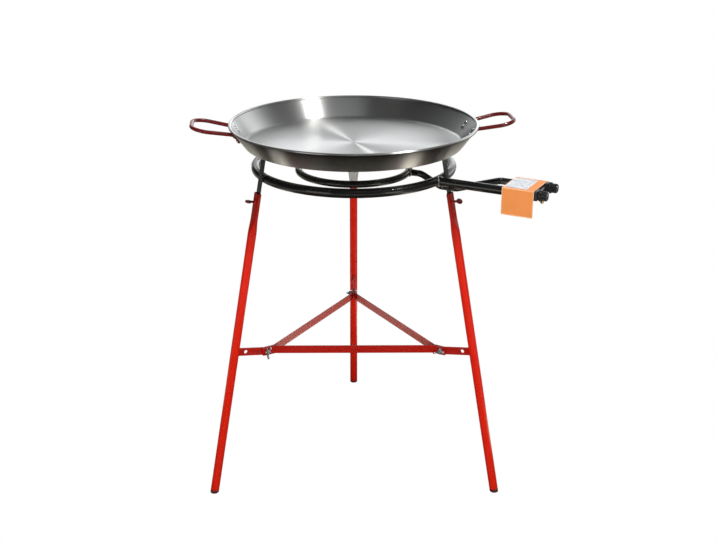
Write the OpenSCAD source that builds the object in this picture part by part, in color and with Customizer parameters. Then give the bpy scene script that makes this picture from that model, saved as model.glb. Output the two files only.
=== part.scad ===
// Paella burner: a two-ring gas burner on a three-legged stand, with its pan.
// Millimetres, +Z up, floor at z = 0, origin at the middle of the overall box on the floor.

/* [Pan] */
// Overall diameter of the pan at its rim
pan_d = 600; // [560:2:640]
// Diameter at which the flat base meets the sloping wall
pan_base_d = 524; // [500:2:540]
// Height from the base to the top of the rim
pan_h = 52; // [48:1:64]
// Thickness of the pan's sheet steel
pan_sheet = 1.5; // [1:0.1:2.5]
// Inside radius between the base and the wall
pan_corner_r = 10; // [5:1:14]
// Diameter of the rolled bead along the rim
rim_bead_d = 7; // [5:0.5:8]
// Angle from the X axis to the line through the two handles
pan_turn = 5; // [-20:1:20]

/* [Pan handles] */
// Diameter of the handle's round bar
handle_rod_d = 9.5; // [7:0.5:10]
// Width of the handle loop over the bar at its tip
handle_w = 138; // [120:1:145]
// Width of the handle loop over the bar where it leaves the wall
handle_root_w = 96; // [85:1:110]
// How far the loop reaches beyond the rim
handle_reach = 90; // [70:1:120]
// Outside radius of the loop's two corners
handle_corner_r = 40; // [25:1:45]
// Upward slope of the loop, in degrees
handle_rise = 10.5; // [0:0.5:14]
// Distance up the wall from the base to the bend of the bar
handle_seat = 50; // [46:1:51]
// Width of the flattened pad on the wall
pad_w = 14; // [12:1:20]
// Thickness of the flattened pad
pad_t = 4; // [3:0.5:5]
// Length of the pad down the wall from the bend
pad_l = 30; // [28:1:32]
// Diameter of the rivets
rivet_d = 5; // [4:0.5:6]
// Diameter of the rivet heads
rivet_head_d = 11; // [8:0.5:12]
// Height of the rivet heads
rivet_head_h = 2.5; // [1.5:0.5:4]
// Distance from the bend to the upper rivet
rivet_first = 9; // [8:0.5:11]
// Distance between the two rivets of a pad
rivet_pitch = 14; // [12:0.5:15]

/* [Burner rings] */
// Height of the pan's base above the floor
pan_seat_z = 850; // [780:5:900]
// Distance from the pan's base down to the outer ring's centre
ring_drop = 55; // [45:1:70]
// Distance from the outer ring's centre down to the inner ring's centre
inner_drop = 10; // [0:1:14]
// Diameter of the outer ring along the middle of its tube
outer_ring_d = 476; // [440:2:490]
// Diameter of the inner ring along the middle of its tube
inner_ring_d = 269; // [220:1:300]
// Diameter of the outer ring's tube
outer_tube_d = 22; // [21.5:0.5:26]
// Diameter of the inner ring's tube
inner_tube_d = 17; // [16.5:0.5:20]
// Wall of the ring and feed tubes
tube_wall = 1.5; // [1:0.1:2]
// Number of flame ports in the outer ring
outer_ports = 48; // [24:4:60]
// Number of flame ports in the inner ring
inner_ports = 28; // [16:4:36]
// Diameter of a flame port
port_d = 3; // [2:0.5:4]
// Lean of the flame ports from straight up, in degrees
port_lean = 25; // [0:5:40]

/* [Feed pipes] */
// Direction of the feed pipes, in degrees from the X axis
feed_az = -28; // [-29:0.5:-26]
// Distance between the two feed pipes
feed_spacing = 70; // [64:1:80]
// Distance from the burner's axis to the pipes' outer ends
feed_end = 460; // [450:1:480]
// Diameter of the outer ring's feed pipe
outer_feed_d = 21; // [19:0.5:21]
// Diameter of the inner ring's feed pipe
inner_feed_d = 16; // [14:0.5:16]
// Diameter of the hole in the outer ring under its feed pipe
outer_hole_d = 14; // [10:0.5:15]
// Diameter of the hole in the inner ring under its feed pipe
inner_hole_d = 9; // [7:0.5:10]
// Gap between the outer ring and the pipe that passes under it
dip_gap = 15; // [8:1:18]
// Length of the level stretch under the outer ring
dip_l = 40; // [30:1:60]
// Share of the run between the inner ring and the level stretch that slopes down
dip_in_share = 0.6; // [0.5:0.02:0.66]
// Length of the slope from the level stretch up to the taps
dip_out_l = 110; // [80:1:115]
// Radius of the inner feed pipe's bends, along its middle
feed_bend_r = 30; // [25:1:40]
// Diameter of the air windows near the pipes' ends
air_window_d = 9; // [6:0.5:11]
// Distance from the pipe's end to the air windows
air_window_back = 24; // [20:1:40]

/* [Taps] */
// Length of the tap body along the pipe
tap_l = 22; // [20:1:28]
// Width of the tap body
tap_w = 22; // [20:1:26]
// Height of the tap body
tap_h = 21; // [19:1:26]
// Length of the spigot that fits into the pipe
spigot_l = 10; // [8:1:14]
// Diameter of the rotary plug inside the tap
plug_d = 12; // [10:0.5:14]
// Length of the rotary plug
plug_l = 14; // [12:1:16]
// Diameter of the spindle's stem
stem_d = 7; // [6:0.5:8]
// Depth of the flat on the stem
stem_flat = 1.2; // [0.5:0.1:2]
// Thickness of the gland that holds the plug in
gland_t = 3; // [2:0.5:5]
// Diameter of the gland
gland_d = 17; // [15:0.5:19]
// Diameter of the knob
knob_d = 26; // [22:1:32]
// Length of the knob
knob_l = 18; // [14:1:24]
// Thickness of the knob's skirt
knob_skirt = 4; // [3:0.5:6]
// Number of grip flutes round the knob
knob_flutes = 12; // [8:2:16]
// Diameter of a grip flute
flute_d = 4; // [3:0.5:5]
// Outside diameter of the injector
injector_d = 8; // [6:0.5:9]
// How far the injector stands out of the spigot
injector_out = 6; // [4:1:10]
// Bore of the injector's jet
jet_d = 1.2; // [0.8:0.1:2]
// Diameter of the gas ways in taps and rail
gas_way_d = 5; // [4:0.5:7]

/* [Gas rail and inlet] */
// Diameter of the rail between the taps
rail_d = 14; // [12:0.5:16]
// Distance of the gas inlet from the middle of the rail
inlet_off = 15; // [0:1:16]
// Diameter of the inlet's collar
collar_d = 12; // [11:0.5:13]
// Length of the inlet's collar below the rail
collar_l = 6; // [4:1:10]
// Diameter of the hose tail
tail_d = 9; // [8:0.5:10]
// Length of the hose tail
tail_l = 20; // [16:1:30]

/* [Card sleeve] */
// Distance from the burner's axis to the sleeve's inner end
card_start = 400; // [380:1:410]
// Length of the sleeve along the pipes
card_l = 75; // [60:1:80]
// Height of the sleeve's side flaps
card_h = 63; // [40:1:80]
// Thickness of the card
card_t = 0.8; // [0.6:0.1:1.5]
// Gap between the card's flaps and the taps beside them
card_gap = 1; // [0.5:0.1:3]
// Length of the bare label on top
label_l = 54; // [40:1:58]
// Width of the bare label on top
label_w = 80; // [60:1:84]
// Thickness of the label
label_t = 0.3; // [0.2:0.1:0.5]
// Margin between the label and the sleeve's inner end
label_margin = 2; // [1:0.5:6]

/* [Pan supports] */
// Width of the support strips
strip_w = 18; // [12:1:19]
// Thickness of the support strips
strip_t = 3; // [2:0.5:4]
// Length of the tab that carries the pan
tab_l = 35; // [25:1:60]
// Length of strip inside the leg's flattened top
strip_engage = 46; // [40:1:52]

/* [Legs] */
// Lean of the legs from upright, in degrees
leg_lean = 11; // [6:0.5:14]
// Diameter of the leg tubes
leg_d = 21; // [19:0.5:25]
// Wall of the leg tubes
leg_wall = 1.5; // [1:0.1:2]
// Distance along the leg from the ring down to the leg's top end
leg_top_gap = 36; // [25:1:60]
// Thickness of the leg's flattened top
flat_t = 9; // [8:0.5:11]
// Length of the leg's flattened top
flat_l = 60; // [56:1:80]
// Length over which the round tube becomes flat
flat_ramp = 40; // [25:1:60]
// Height of the foot plug that shows below the tube
plug_show = 8; // [6:1:15]
// Length of the foot plug inside the tube
plug_in = 22; // [12:1:40]

/* [Thumbscrews] */
// Diameter of the thumbscrew's shank
screw_d = 6; // [5:0.5:7]
// Distance from the leg's top end down to the thumbscrew
screw_drop = 21; // [18:1:34]
// Length of the shank between the leg and the head
screw_neck = 10; // [8:1:16]
// Diameter of the flat round head
screw_head_d = 15; // [12:1:20]
// Thickness of the flat round head
screw_head_t = 5; // [4:0.5:6]
// Diameter of the threaded insert's sleeve
insert_d = 9; // [8:0.5:10]
// Diameter of the threaded insert's flange
insert_flange_d = 12; // [11:0.5:14]
// Thickness of the threaded insert's flange
insert_flange_t = 1; // [0.5:0.1:2]

/* [Brace] */
// Distance along the leg from the floor to the ear
ear_up = 378; // [300:1:500]
// Width of the ear's flat bar
ear_w = 20; // [18:1:24]
// Thickness of the ear's flat bar
ear_t = 3; // [2:0.5:5]
// Distance from the leg's axis to the brace bolt
bolt_reach = 86; // [70:1:110]
// Distance from the leg's axis to the spare hole
spare_reach = 29; // [24:1:40]
// Diameter of the bolt holes and spare holes
bolt_hole_d = 9; // [8.5:0.1:10]
// Width of the brace bars
bar_w = 20; // [16:1:25]
// Thickness of the brace bars
bar_t = 3; // [2:0.5:5]
// Length of the bar's end past the bolt
bar_tail = 12; // [9:1:20]
// Distance from the bolt to the bend in the bar
bar_bend = 22; // [19:1:30]
// Diameter of the brace bolts
bolt_d = 8; // [7:0.1:8.4]
// Width across the flats of the bolt heads
bolt_af = 13; // [12:0.5:15]
// Height of the bolt heads
bolt_head_h = 5.3; // [4:0.1:7]
// Length of bolt that shows past the wing nut's hub
bolt_out = 3; // [1:0.5:6]
// Diameter of the wing nut's hub at its base
nut_d = 15; // [13:0.5:17]
// Diameter of the wing nut's hub at its top
nut_top_d = 13; // [11:0.5:13]
// Height of the wing nut's hub
nut_h = 9; // [7:0.5:12]
// Span over the wing nut's two wings
nut_span = 32; // [26:1:36]
// Height of the wing nut over its wings
nut_tall = 16; // [14:0.5:20]
// Thickness of the wings
nut_wing_t = 3; // [2:0.5:4]
// Turn of the left wing nut on its bolt, in degrees
nut_turn_left = 75; // [0:5:175]
// Turn of the right wing nut on its bolt, in degrees
nut_turn_right = 15; // [0:5:175]
// Turn of the rear wing nut on its bolt, in degrees
nut_turn_rear = 20; // [0:5:175]
// Radius of the wings' round tips
nut_tip_r = 4; // [3:0.5:5]

/* [Fits] */
// Radial clearance of a running or push fit
run_gap = 0.05; // [0.02:0.01:0.1]
// Gap between a face that moves and the face it rests on
seat_gap = 0.2; // [0.1:0.05:0.3]
// Gap between two curved faces of one assembly
curve_gap = 0.05; // [0.02:0.01:0.3]

/* [Hidden] */
$fn = 64;

// Directions of the three legs, and the angle between one leg and the next
az_left = -150;
az_right = -30;
az_rear = 90;
leg_step = 120;
// How each thumbscrew's head is turned, and on which side of the ear each wing nut sits
turn_left = 80;
turn_right = 20;
turn_rear = 45;
nut_side_left = 1;
nut_side_right = -1;
nut_side_rear = 1;
// Small overlap of cutting shapes past the faces they cut
cut = 1;
// A bent bar swells a little in its bends, and its straight stretches run this far into them
bend_swell = 0.1;
bend_lap = 1;
// Turn of a flame port's seam about its own axis, clear of the ring's top line
port_seam = 37;

// Burner and strip places: the strip's middle plane touches the outer ring's tube
outer_z = pan_seat_z - ring_drop;
inner_z = outer_z - inner_drop;
outer_r = outer_ring_d / 2;
inner_r = inner_ring_d / 2;
strip_off = (outer_tube_d + strip_t) / 2;
strip_r = outer_r + strip_off * cos(leg_lean);
strip_z = outer_z + strip_off * sin(leg_lean);
// The bend of the strip lies where its middle meets the middle of the tab
bend_z = pan_seat_z - strip_t / 2;
bend_r = strip_r - (bend_z - strip_z) * tan(leg_lean);

// Leg places, along the leg's axis from the level of the ring
cavity_t = flat_t - 2 * leg_wall;
leg_bore_d = leg_d - 2 * leg_wall;
strip_side_gap = 0.25;
flat_w = strip_w + flat_t + 2 * strip_side_gap;
leg_shift = (cavity_t - strip_t) / 2;
leg_top = -leg_top_gap;
flat_from = leg_top - flat_l;
round_to = flat_from - flat_ramp;
// The pressing planes start this far outside the round tube
press_lead = 0.5;
leg_foot = -(strip_z + leg_shift * sin(leg_lean)) / cos(leg_lean);
foot_r = strip_r + leg_shift * cos(leg_lean) - leg_foot * sin(leg_lean);
tube_end = leg_foot + plug_show;
screw_at = leg_top - screw_drop;
strip_face = strip_t - cavity_t / 2;
insert_end_gap = 1;
screw_head_at = flat_t / 2 + screw_neck + screw_head_d / 2;

// Brace places: the bolt's radius and height, and half of the clamped stack
ear_at = leg_foot + ear_up;
bolt_x = leg_shift - bolt_reach;
bolt_r = strip_r + bolt_x * cos(leg_lean) - ear_at * sin(leg_lean);
bolt_z = strip_z + bolt_x * sin(leg_lean) + ear_at * cos(leg_lean);
stack = ear_t / 2 + bar_t;
bar_off = (ear_t + bar_t) / 2;
// Wing nut: centre of a tip, how far the wing's root lies in the hub, and where its sides meet the tip
nut_tip = [nut_span / 2 - nut_tip_r, nut_tall - nut_tip_r];
nut_root = 1;
nut_wing_base = 1.5;
tip_from = -40;
tip_to = 140;

// Pan places: the wall rises from the base corner to the bead's centre
rim_r = pan_d / 2;
base_r = pan_base_d / 2;
bead_r = rim_r - rim_bead_d / 2;
bead_up = pan_h - rim_bead_d / 2;
wall_l = norm([bead_r - base_r, bead_up]);
wall_a = atan2(bead_up, bead_r - base_r) - asin(pan_sheet / 2 / wall_l);
corner_out = pan_corner_r + pan_sheet;
corner_x = base_r - corner_out * tan(wall_a / 2);
corner_y = corner_out;
arc_steps = 6;
function wall_arc(r, from, to) = [
    for (i = [0:arc_steps])
        let (a = from + (to - from) * i / arc_steps)
            [corner_x + r * cos(a), corner_y + r * sin(a)]
];
arc_end = wall_a - 90;
out_arc = wall_arc(corner_out, -90, arc_end);
in_arc = wall_arc(pan_corner_r, arc_end, -90);
// The straight stretch of the wall, from its arc to the bead's centre
wall_run = wall_l * cos(asin(pan_sheet / 2 / wall_l)) - corner_out * tan(wall_a / 2);
wall_rise = wall_run * [cos(wall_a), sin(wall_a)];

// Handle places: the bar stands off the wall at its bend and runs a little way back into its pad
rod_stand = 0.8;
rod_back = 2;
bend_off = handle_rod_d / 2 + rod_stand;
pad_low = handle_seat - pad_l + pad_w / 2;
pad_top = handle_seat + handle_rod_d / 2;
grip_y = (handle_root_w - handle_rod_d) / 2;
tip_y = (handle_w - handle_rod_d) / 2;
grip_r = base_r + handle_seat * cos(wall_a) + bend_off * sin(wall_a);
grip_z = handle_seat * sin(wall_a) - bend_off * cos(wall_a);
grip_side = asin(grip_y / grip_r);
grip_x = grip_r * cos(grip_side);
grip_l = (rim_r + handle_reach - handle_rod_d / 2 - grip_x) / cos(handle_rise);
grip_bend = handle_corner_r - handle_rod_d / 2;
flare_a = atan2(tip_y - grip_y, grip_l + rod_back);
// The flat inner rivet head clears the hollow side of the wall by the wall's own curve
head_gap = pow(rivet_head_d / 2, 2) / 2 / base_r + curve_gap;
// Length of the shape that cuts a rivet hole, through the sheet and the pad
rivet_cut = 2 * (pan_sheet + curve_gap + pad_t + cut);

// Feed and tap places, along the feed direction
feed_off = feed_spacing / 2;
outer_join = sqrt(pow(outer_r, 2) - pow(feed_off, 2));
inner_join = sqrt(pow(inner_r, 2) - pow(feed_off, 2));
dip_drop = outer_tube_d / 2 + dip_gap + inner_feed_d / 2;
dip_from = outer_join - dip_l / 2;
dip_to = outer_join + dip_l / 2;
dip_in_l = dip_in_share * (dip_from - inner_join);
// Path of the inner ring's feed pipe: level from the ring, under the outer ring, up to the tap
inner_bends = [
    [dip_from - dip_in_l, -inner_drop], [dip_from, -dip_drop], [dip_to, -dip_drop], [dip_to + dip_out_l, 0]
];
inner_path = concat([[inner_join, -inner_drop]], inner_bends);
tap_end = feed_end + tap_l;
gland_end = tap_end + gland_t;
knob_from = gland_end + seat_gap;
knob_to = knob_from + knob_l;
plug_from = tap_end - plug_l;
rail_at = tap_end - plug_l / 2;
stem_in_knob = knob_l - knob_skirt;
// Radius on which the knob's grip flutes are centred
flute_r = (knob_d - flute_d) / 2 + flute_d / 4;
tap_top = max(outer_feed_d, tap_h) / 2;
card_w = feed_spacing + max(tap_w, outer_feed_d) + 2 * card_gap + card_t;
card_top = tap_top + curve_gap + card_t / 2;
tail_top = rail_d / 2 + collar_l;

// Middle of the overall box on the floor: handle tips, knobs, rim and rear foot bound it
handle_tip = (rim_r + handle_reach - handle_corner_r) * cos(pan_turn)
    + (tip_y - grip_bend * tan(45 + flare_a / 2)) * sin(abs(pan_turn)) + handle_corner_r;
knob_tip = knob_to * cos(feed_az) + (feed_off + (knob_d - flute_d) / 2) * sin(-feed_az);
foot_tip = foot_r + leg_d / 2 / cos(leg_lean);
box_x = (max(handle_tip, knob_tip) - handle_tip) / 2;
box_y = (foot_tip - rim_r) / 2;

// Frames that the modules share

// Puts the design, drawn about the burner's axis, into the object's own frame
module placed() translate([-box_x, -box_y, 0]) children();

// A support strip's frame: Z up along the strip, X outward, origin beside the outer ring
module strip_frame(az) rotate([0, 0, az]) translate([strip_r, 0, strip_z])
    rotate([0, -leg_lean, 0]) children();

// A leg's frame, on the leg's own axis
module leg_frame(az) strip_frame(az) translate([leg_shift, 0, 0]) children();

// A thumbscrew's frame: Z outward along the screw, origin on the leg's axis
module screw_frame(az) leg_frame(az) translate([0, 0, screw_at]) rotate([0, 90, 0]) children();

// A brace bolt's frame: Z along the bolt towards its wing nut, origin in the ear's middle
module bolt_frame(az, side) rotate([0, 0, az]) translate([bolt_r, 0, bolt_z])
    rotate([-90 * side, 0, 0]) children();

// A feed pipe's frame: X along the pipe, origin beside the burner's axis at the outer ring's height
module feed_frame(off) rotate([0, 0, feed_az]) translate([0, off, outer_z]) children();

// The pan's frame: origin in the middle of the base, X through the right handle
module pan_frame() translate([0, 0, pan_seat_z]) rotate([0, 0, pan_turn]) children();

// A place on the pan's wall beside a handle: Z outward from the wall, Y up along the wall from the base
module wall_frame(side) rotate([0, 0, side * grip_side]) translate([base_r, 0, 0])
    rotate([0, 90 - wall_a, 0]) rotate([90, 0, 90]) children();

// Shapes that repeat

// A bar along X
module bar_x(from, to, d) translate([from, 0, 0]) rotate([0, 90, 0]) cylinder(d = d, h = to - from);

// Outline of a strip of even thickness along a path of points, mitred at its bends
function unit(v) = v / norm(v);
function left_of(v) = [-v[1], v[0]];
function mitre(p, i) =
    let (before = unit(p[max(i, 1)] - p[max(i, 1) - 1]))
    let (last = len(p) - 1)
    let (after = unit(p[min(i, last - 1) + 1] - p[min(i, last - 1)]))
    let (across = unit(left_of(before) + left_of(after)))
    across / (across * left_of(after));
module strip_outline(p, t) polygon(concat(
    [for (i = [0:len(p) - 1]) p[i] + mitre(p, i) * t / 2],
    [for (i = [len(p) - 1:-1:0]) p[i] - mitre(p, i) * t / 2]
));

// A round bar along a path of points in the XY plane, with bends of radius r along its middle
function turn_at(p, i) =
    let (u = unit(p[i] - p[i - 1]), v = unit(p[i + 1] - p[i]))
    atan2(u[0] * v[1] - u[1] * v[0], u * v);
function trim_at(p, i, r) = i == 0 || i == len(p) - 1 ? 0 : r * tan(abs(turn_at(p, i)) / 2);
module bent_bar(p, d, r) {
    last = len(p) - 1;
    for (i = [1:last])
        let (u = unit(p[i] - p[i - 1]), lap_from = i > 1 ? bend_lap : 0, lap_to = i < last ? bend_lap : 0)
            let (from = p[i - 1] + u * (trim_at(p, i - 1, r) - lap_from))
                translate([from[0], from[1], 0]) rotate([0, 90, atan2(u[1], u[0])])
                    cylinder(d = d, h = norm(p[i] - from) - trim_at(p, i, r) + lap_to);
    for (i = [1:last - 1])
        let (u = unit(p[i] - p[i - 1]), turn = turn_at(p, i), side = sign(turn))
            let (middle = p[i] - u * trim_at(p, i, r) + left_of(u) * side * r)
                translate([middle[0], middle[1], 0])
                    rotate([0, 0, atan2(u[1], u[0]) - 90 * side + min(turn, 0)])
                        rotate_extrude(angle = abs(turn)) translate([r, 0]) circle(d = d + 2 * bend_swell);
}

// A ring of round tube, solid
module ring_solid(r, d) rotate_extrude() translate([r, 0]) circle(d = d);

// A hollow burner ring with its flame ports
module burner_ring(r, d, ports) difference() {
    ring_solid(r, d);
    ring_solid(r, d - 2 * tube_wall);
    for (i = [0:ports - 1])
        rotate([0, 0, (i + 0.5) * 360 / ports]) translate([r, 0, 0])
            rotate([0, i % 2 == 0 ? port_lean : -port_lean, 0]) rotate([0, 0, port_seam])
                cylinder(d = port_d, h = d);
}

// Pan

module pan_shell() color("lightgray") placed() pan_frame() difference() {
    rotate_extrude() {
        polygon(concat(
            [[0, 0]], out_arc, [out_arc[arc_steps] + wall_rise],
            [in_arc[0] + wall_rise], in_arc, [[0, pan_sheet]]
        ));
        translate([bead_r, bead_up]) circle(d = rim_bead_d);
    }
    for (end = [0, 180])
        rotate([0, 0, end]) rivet_holes();
}

// The rivets' places on the two pads of one handle
module rivet_places() for (side = [-1, 1], n = [0, 1])
    wall_frame(side) translate([0, handle_seat - rivet_first - n * rivet_pitch, 0]) children();
module rivet_holes() rivet_places() cylinder(d = rivet_d, h = rivet_cut, center = true);

// One handle loop, with a riveted pad at each end
module handle() difference() {
    union() {
        translate([grip_x, 0, grip_z]) rotate([0, -handle_rise, 0]) bent_bar(
            [[-rod_back, -grip_y], [grip_l, -tip_y], [grip_l, tip_y], [-rod_back, grip_y]],
            handle_rod_d, grip_bend
        );
        for (side = [-1, 1])
            wall_frame(side) translate([0, 0, curve_gap]) linear_extrude(pad_t) {
                translate([-pad_w / 2, pad_low]) square([pad_w, pad_top - pad_low]);
                translate([0, pad_low]) circle(d = pad_w);
            }
    }
    rivet_holes();
}
module pan_handle_right() color("firebrick") placed() pan_frame() handle();
module pan_handle_left() color("firebrick") placed() pan_frame() rotate([0, 0, 180]) handle();

// A rivet head: a shallow dome of the given height on a flat base
module rivet_head() {
    ball_r = (pow(rivet_head_d / 2, 2) + pow(rivet_head_h, 2)) / 2 / rivet_head_h;
    intersection() {
        translate([0, 0, rivet_head_h - ball_r]) sphere(r = ball_r);
        cylinder(d = rivet_head_d, h = rivet_head_h);
    }
}
// Four rivets, with a head on the pad and a head inside the pan
module rivets() rivet_places() {
    translate([0, 0, curve_gap + pad_t]) rivet_head();
    translate([0, 0, -pan_sheet - head_gap]) mirror([0, 0, 1]) rivet_head();
    translate([0, 0, -pan_sheet - head_gap])
        cylinder(d = rivet_d - 2 * run_gap, h = pan_sheet + head_gap + curve_gap + pad_t);
}
module pan_rivets_right() color("silver") placed() pan_frame() rivets();
module pan_rivets_left() color("silver") placed() pan_frame() rotate([0, 0, 180]) rivets();

// Burner

module outer_ring() color("dimgray") placed() difference() {
    translate([0, 0, outer_z]) burner_ring(outer_r, outer_tube_d, outer_ports);
    feed_frame(-feed_off) bar_x(outer_join, outer_join + outer_tube_d, outer_hole_d);
}
module outer_feed_pipe() color("dimgray") placed() difference() {
    feed_frame(-feed_off) bar_x(outer_join, feed_end, outer_feed_d);
    feed_frame(-feed_off) bar_x(outer_join - cut, feed_end + cut, outer_feed_d - 2 * tube_wall);
    translate([0, 0, outer_z]) ring_solid(outer_r, outer_tube_d);
    air_windows(-feed_off, outer_feed_d);
}

module inner_ring() color("dimgray") placed() difference() {
    translate([0, 0, inner_z]) burner_ring(inner_r, inner_tube_d, inner_ports);
    feed_frame(feed_off) translate([0, 0, -inner_drop])
        bar_x(inner_join, inner_join + inner_tube_d, inner_hole_d);
}
module inner_feed_pipe() color("dimgray") placed() difference() {
    feed_frame(feed_off) rotate([90, 0, 0]) difference() {
        bent_bar(concat(inner_path, [[feed_end, 0]]), inner_feed_d, feed_bend_r);
        bent_bar(
            concat([[inner_join - cut, -inner_drop]], inner_bends, [[feed_end + cut, 0]]),
            inner_feed_d - 2 * tube_wall, feed_bend_r
        );
    }
    translate([0, 0, inner_z]) ring_solid(inner_r, inner_tube_d);
    air_windows(feed_off, inner_feed_d);
}
// Air windows on both sides of a pipe, behind its injector
module air_windows(off, d) feed_frame(off) translate([feed_end - air_window_back, 0, 0])
    rotate([90, 0, 0]) cylinder(d = air_window_d, h = 2 * d, center = true);

// A strip that stands beside the outer ring and bends inward into a tab under the pan
module pan_support(az) color("dimgray") placed() rotate([0, 0, az]) rotate([90, 0, 0])
    linear_extrude(strip_w, center = true) strip_outline([
        [strip_r + (leg_top_gap + strip_engage) * sin(leg_lean),
            strip_z - (leg_top_gap + strip_engage) * cos(leg_lean)],
        [bend_r, bend_z],
        [bend_r - tab_l, bend_z]
    ], strip_t);

// Taps

// The stem's outline: round with one flat
module stem_outline() difference() {
    circle(d = stem_d);
    translate([stem_d / 2 - stem_flat, -stem_d / 2]) square(stem_d);
}
// Tap body with its spigot in the pipe, plug bore, injector seat and gas way to the rail
module tap_body(off, pipe_d) color("gray") placed() feed_frame(off) difference() {
    union() {
        translate([feed_end, -tap_w / 2, -tap_h / 2]) cube([tap_l, tap_w, tap_h]);
        bar_x(feed_end - spigot_l, feed_end + cut, pipe_d - 2 * tube_wall - 2 * run_gap);
    }
    bar_x(plug_from, tap_end + cut, plug_d);
    bar_x(feed_end - spigot_l - cut, plug_from + cut, injector_d);
    translate([rail_at, 0, 0]) rotate([off > 0 ? 90 : -90, 0, 0]) cylinder(d = gas_way_d, h = tap_w);
}
// Gland that closes the tap's front round the stem
module tap_gland(off) color("gray") placed() feed_frame(off) difference() {
    bar_x(tap_end, gland_end, gland_d);
    bar_x(tap_end - cut, gland_end + cut, stem_d + 2 * run_gap);
}
// Rotary plug with its gas way, and the stem that the knob sits on
module tap_spindle(off) color("goldenrod") placed() feed_frame(off) difference() {
    union() {
        bar_x(plug_from + seat_gap, tap_end - seat_gap, plug_d - 2 * run_gap);
        bar_x(tap_end - seat_gap - cut, gland_end - seat_gap, stem_d);
        translate([gland_end - seat_gap, 0, 0]) rotate([0, 90, 0])
            linear_extrude(stem_in_knob + 2 * seat_gap) stem_outline();
    }
    bar_x(plug_from, rail_at, gas_way_d);
    translate([rail_at, 0, 0]) rotate([off > 0 ? 90 : -90, 0, 0]) cylinder(d = gas_way_d, h = plug_d);
}
// Fluted knob with a skirt
module tap_knob(off) color("dimgray") placed() feed_frame(off) difference() {
    union() {
        bar_x(knob_from, knob_from + knob_skirt, knob_d);
        bar_x(knob_from, knob_to, knob_d - flute_d);
    }
    for (i = [0:knob_flutes - 1])
        rotate([i * 360 / knob_flutes, 0, 0]) translate([0, 0, flute_r])
            bar_x(knob_from + knob_skirt, knob_to + cut, flute_d);
    translate([knob_from - cut, 0, 0]) rotate([0, 90, 0])
        linear_extrude(stem_in_knob + seat_gap + cut) stem_outline();
}
// Injector: its jet stands out of the spigot into the pipe
module injector(off) color("goldenrod") placed() feed_frame(off) difference() {
    bar_x(feed_end - spigot_l - injector_out, plug_from, injector_d);
    bar_x(feed_end - spigot_l, plug_from + cut, gas_way_d);
    bar_x(feed_end - spigot_l - injector_out - cut, feed_end, jet_d);
}
// Gas rail between the two tap bodies, with the hole of the inlet
module gas_rail() color("dimgray") placed() feed_frame(0) translate([rail_at, 0, 0]) difference() {
    rotate([90, 0, 0]) cylinder(d = rail_d, h = feed_spacing - tap_w, center = true);
    rotate([90, 0, 0]) cylinder(d = gas_way_d, h = feed_spacing, center = true);
    translate([0, inlet_off, -rail_d]) cylinder(d = gas_way_d, h = rail_d);
}
// Gas inlet: a collar under the rail and a plain tail for the hose
module hose_tail() color("goldenrod") placed() feed_frame(0) translate([rail_at, inlet_off, 0])
    difference() {
        union() {
            translate([0, 0, -tail_top]) cylinder(d = collar_d, h = tail_top);
            translate([0, 0, -tail_top - tail_l]) cylinder(d = tail_d, h = tail_l + cut);
        }
        rotate([90, 0, 0]) cylinder(d = rail_d, h = 2 * collar_d, center = true);
        translate([0, 0, -tail_top - tail_l - cut]) cylinder(d = gas_way_d, h = tail_top + tail_l + cut);
    }

// Card sleeve over the two pipes, and its bare label
module card_sleeve() color("orange") placed() feed_frame(0) translate([card_start, 0, 0])
    rotate([90, 0, 90]) linear_extrude(card_l) strip_outline([
        [-card_w / 2, card_top - card_h], [-card_w / 2, card_top],
        [card_w / 2, card_top], [card_w / 2, card_top - card_h]
    ], card_t);
module card_label() color("white") placed() feed_frame(0)
    translate([card_start + label_margin, -label_w / 2, card_top + card_t / 2])
        cube([label_l, label_w, label_t]);

// Legs

// Outside or bore of a leg, from and to along its axis: round below, widened and pressed flat at the top
module leg_solid(from, to, d, w, t) intersection() {
    rotate_extrude() polygon([
        [0, from], [d / 2, from], [d / 2, round_to], [w / 2, flat_from], [w / 2, to], [0, to]
    ]);
    rotate([90, 0, 0]) linear_extrude(2 * w, center = true) polygon([
        [-w, from - cut], [w, from - cut], [w, round_to], [d / 2 + press_lead, round_to],
        [t / 2, flat_from], [t / 2, to + cut], [-t / 2, to + cut], [-t / 2, flat_from],
        [-d / 2 - press_lead, round_to], [-w, round_to]
    ]);
}
module leg(az) color("red") placed() leg_frame(az) difference() {
    leg_solid(tube_end, leg_top, leg_d, flat_w, flat_t);
    leg_solid(tube_end - cut, leg_top + cut, leg_bore_d, flat_w - 2 * leg_wall, cavity_t);
    translate([0, 0, screw_at]) bar_x(0, flat_t, insert_d);
}
// Plug in the leg's lower end, cut flat where it stands on the floor
module foot_plug(az) color("maroon") placed() intersection() {
    leg_frame(az) {
        translate([0, 0, leg_foot - leg_d]) cylinder(d = leg_d, h = leg_d + plug_show);
        translate([0, 0, tube_end - cut]) cylinder(d = leg_bore_d - 2 * run_gap, h = plug_in + cut);
    }
    translate([-2 * foot_r, -2 * foot_r, 0]) cube([4 * foot_r, 4 * foot_r, foot_r]);
}
// Threaded inserts in the flattened tops
module leg_thread_inserts() color("silver") placed() for (az = [az_left, az_right, az_rear])
    screw_frame(az) difference() {
        union() {
            translate([0, 0, strip_face + insert_end_gap])
                cylinder(d = insert_d, h = flat_t / 2 + cut / 2 - strip_face - insert_end_gap);
            translate([0, 0, flat_t / 2]) cylinder(d = insert_flange_d, h = insert_flange_t);
        }
        cylinder(d = screw_d + 2 * run_gap, h = flat_t + insert_flange_t);
    }
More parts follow.
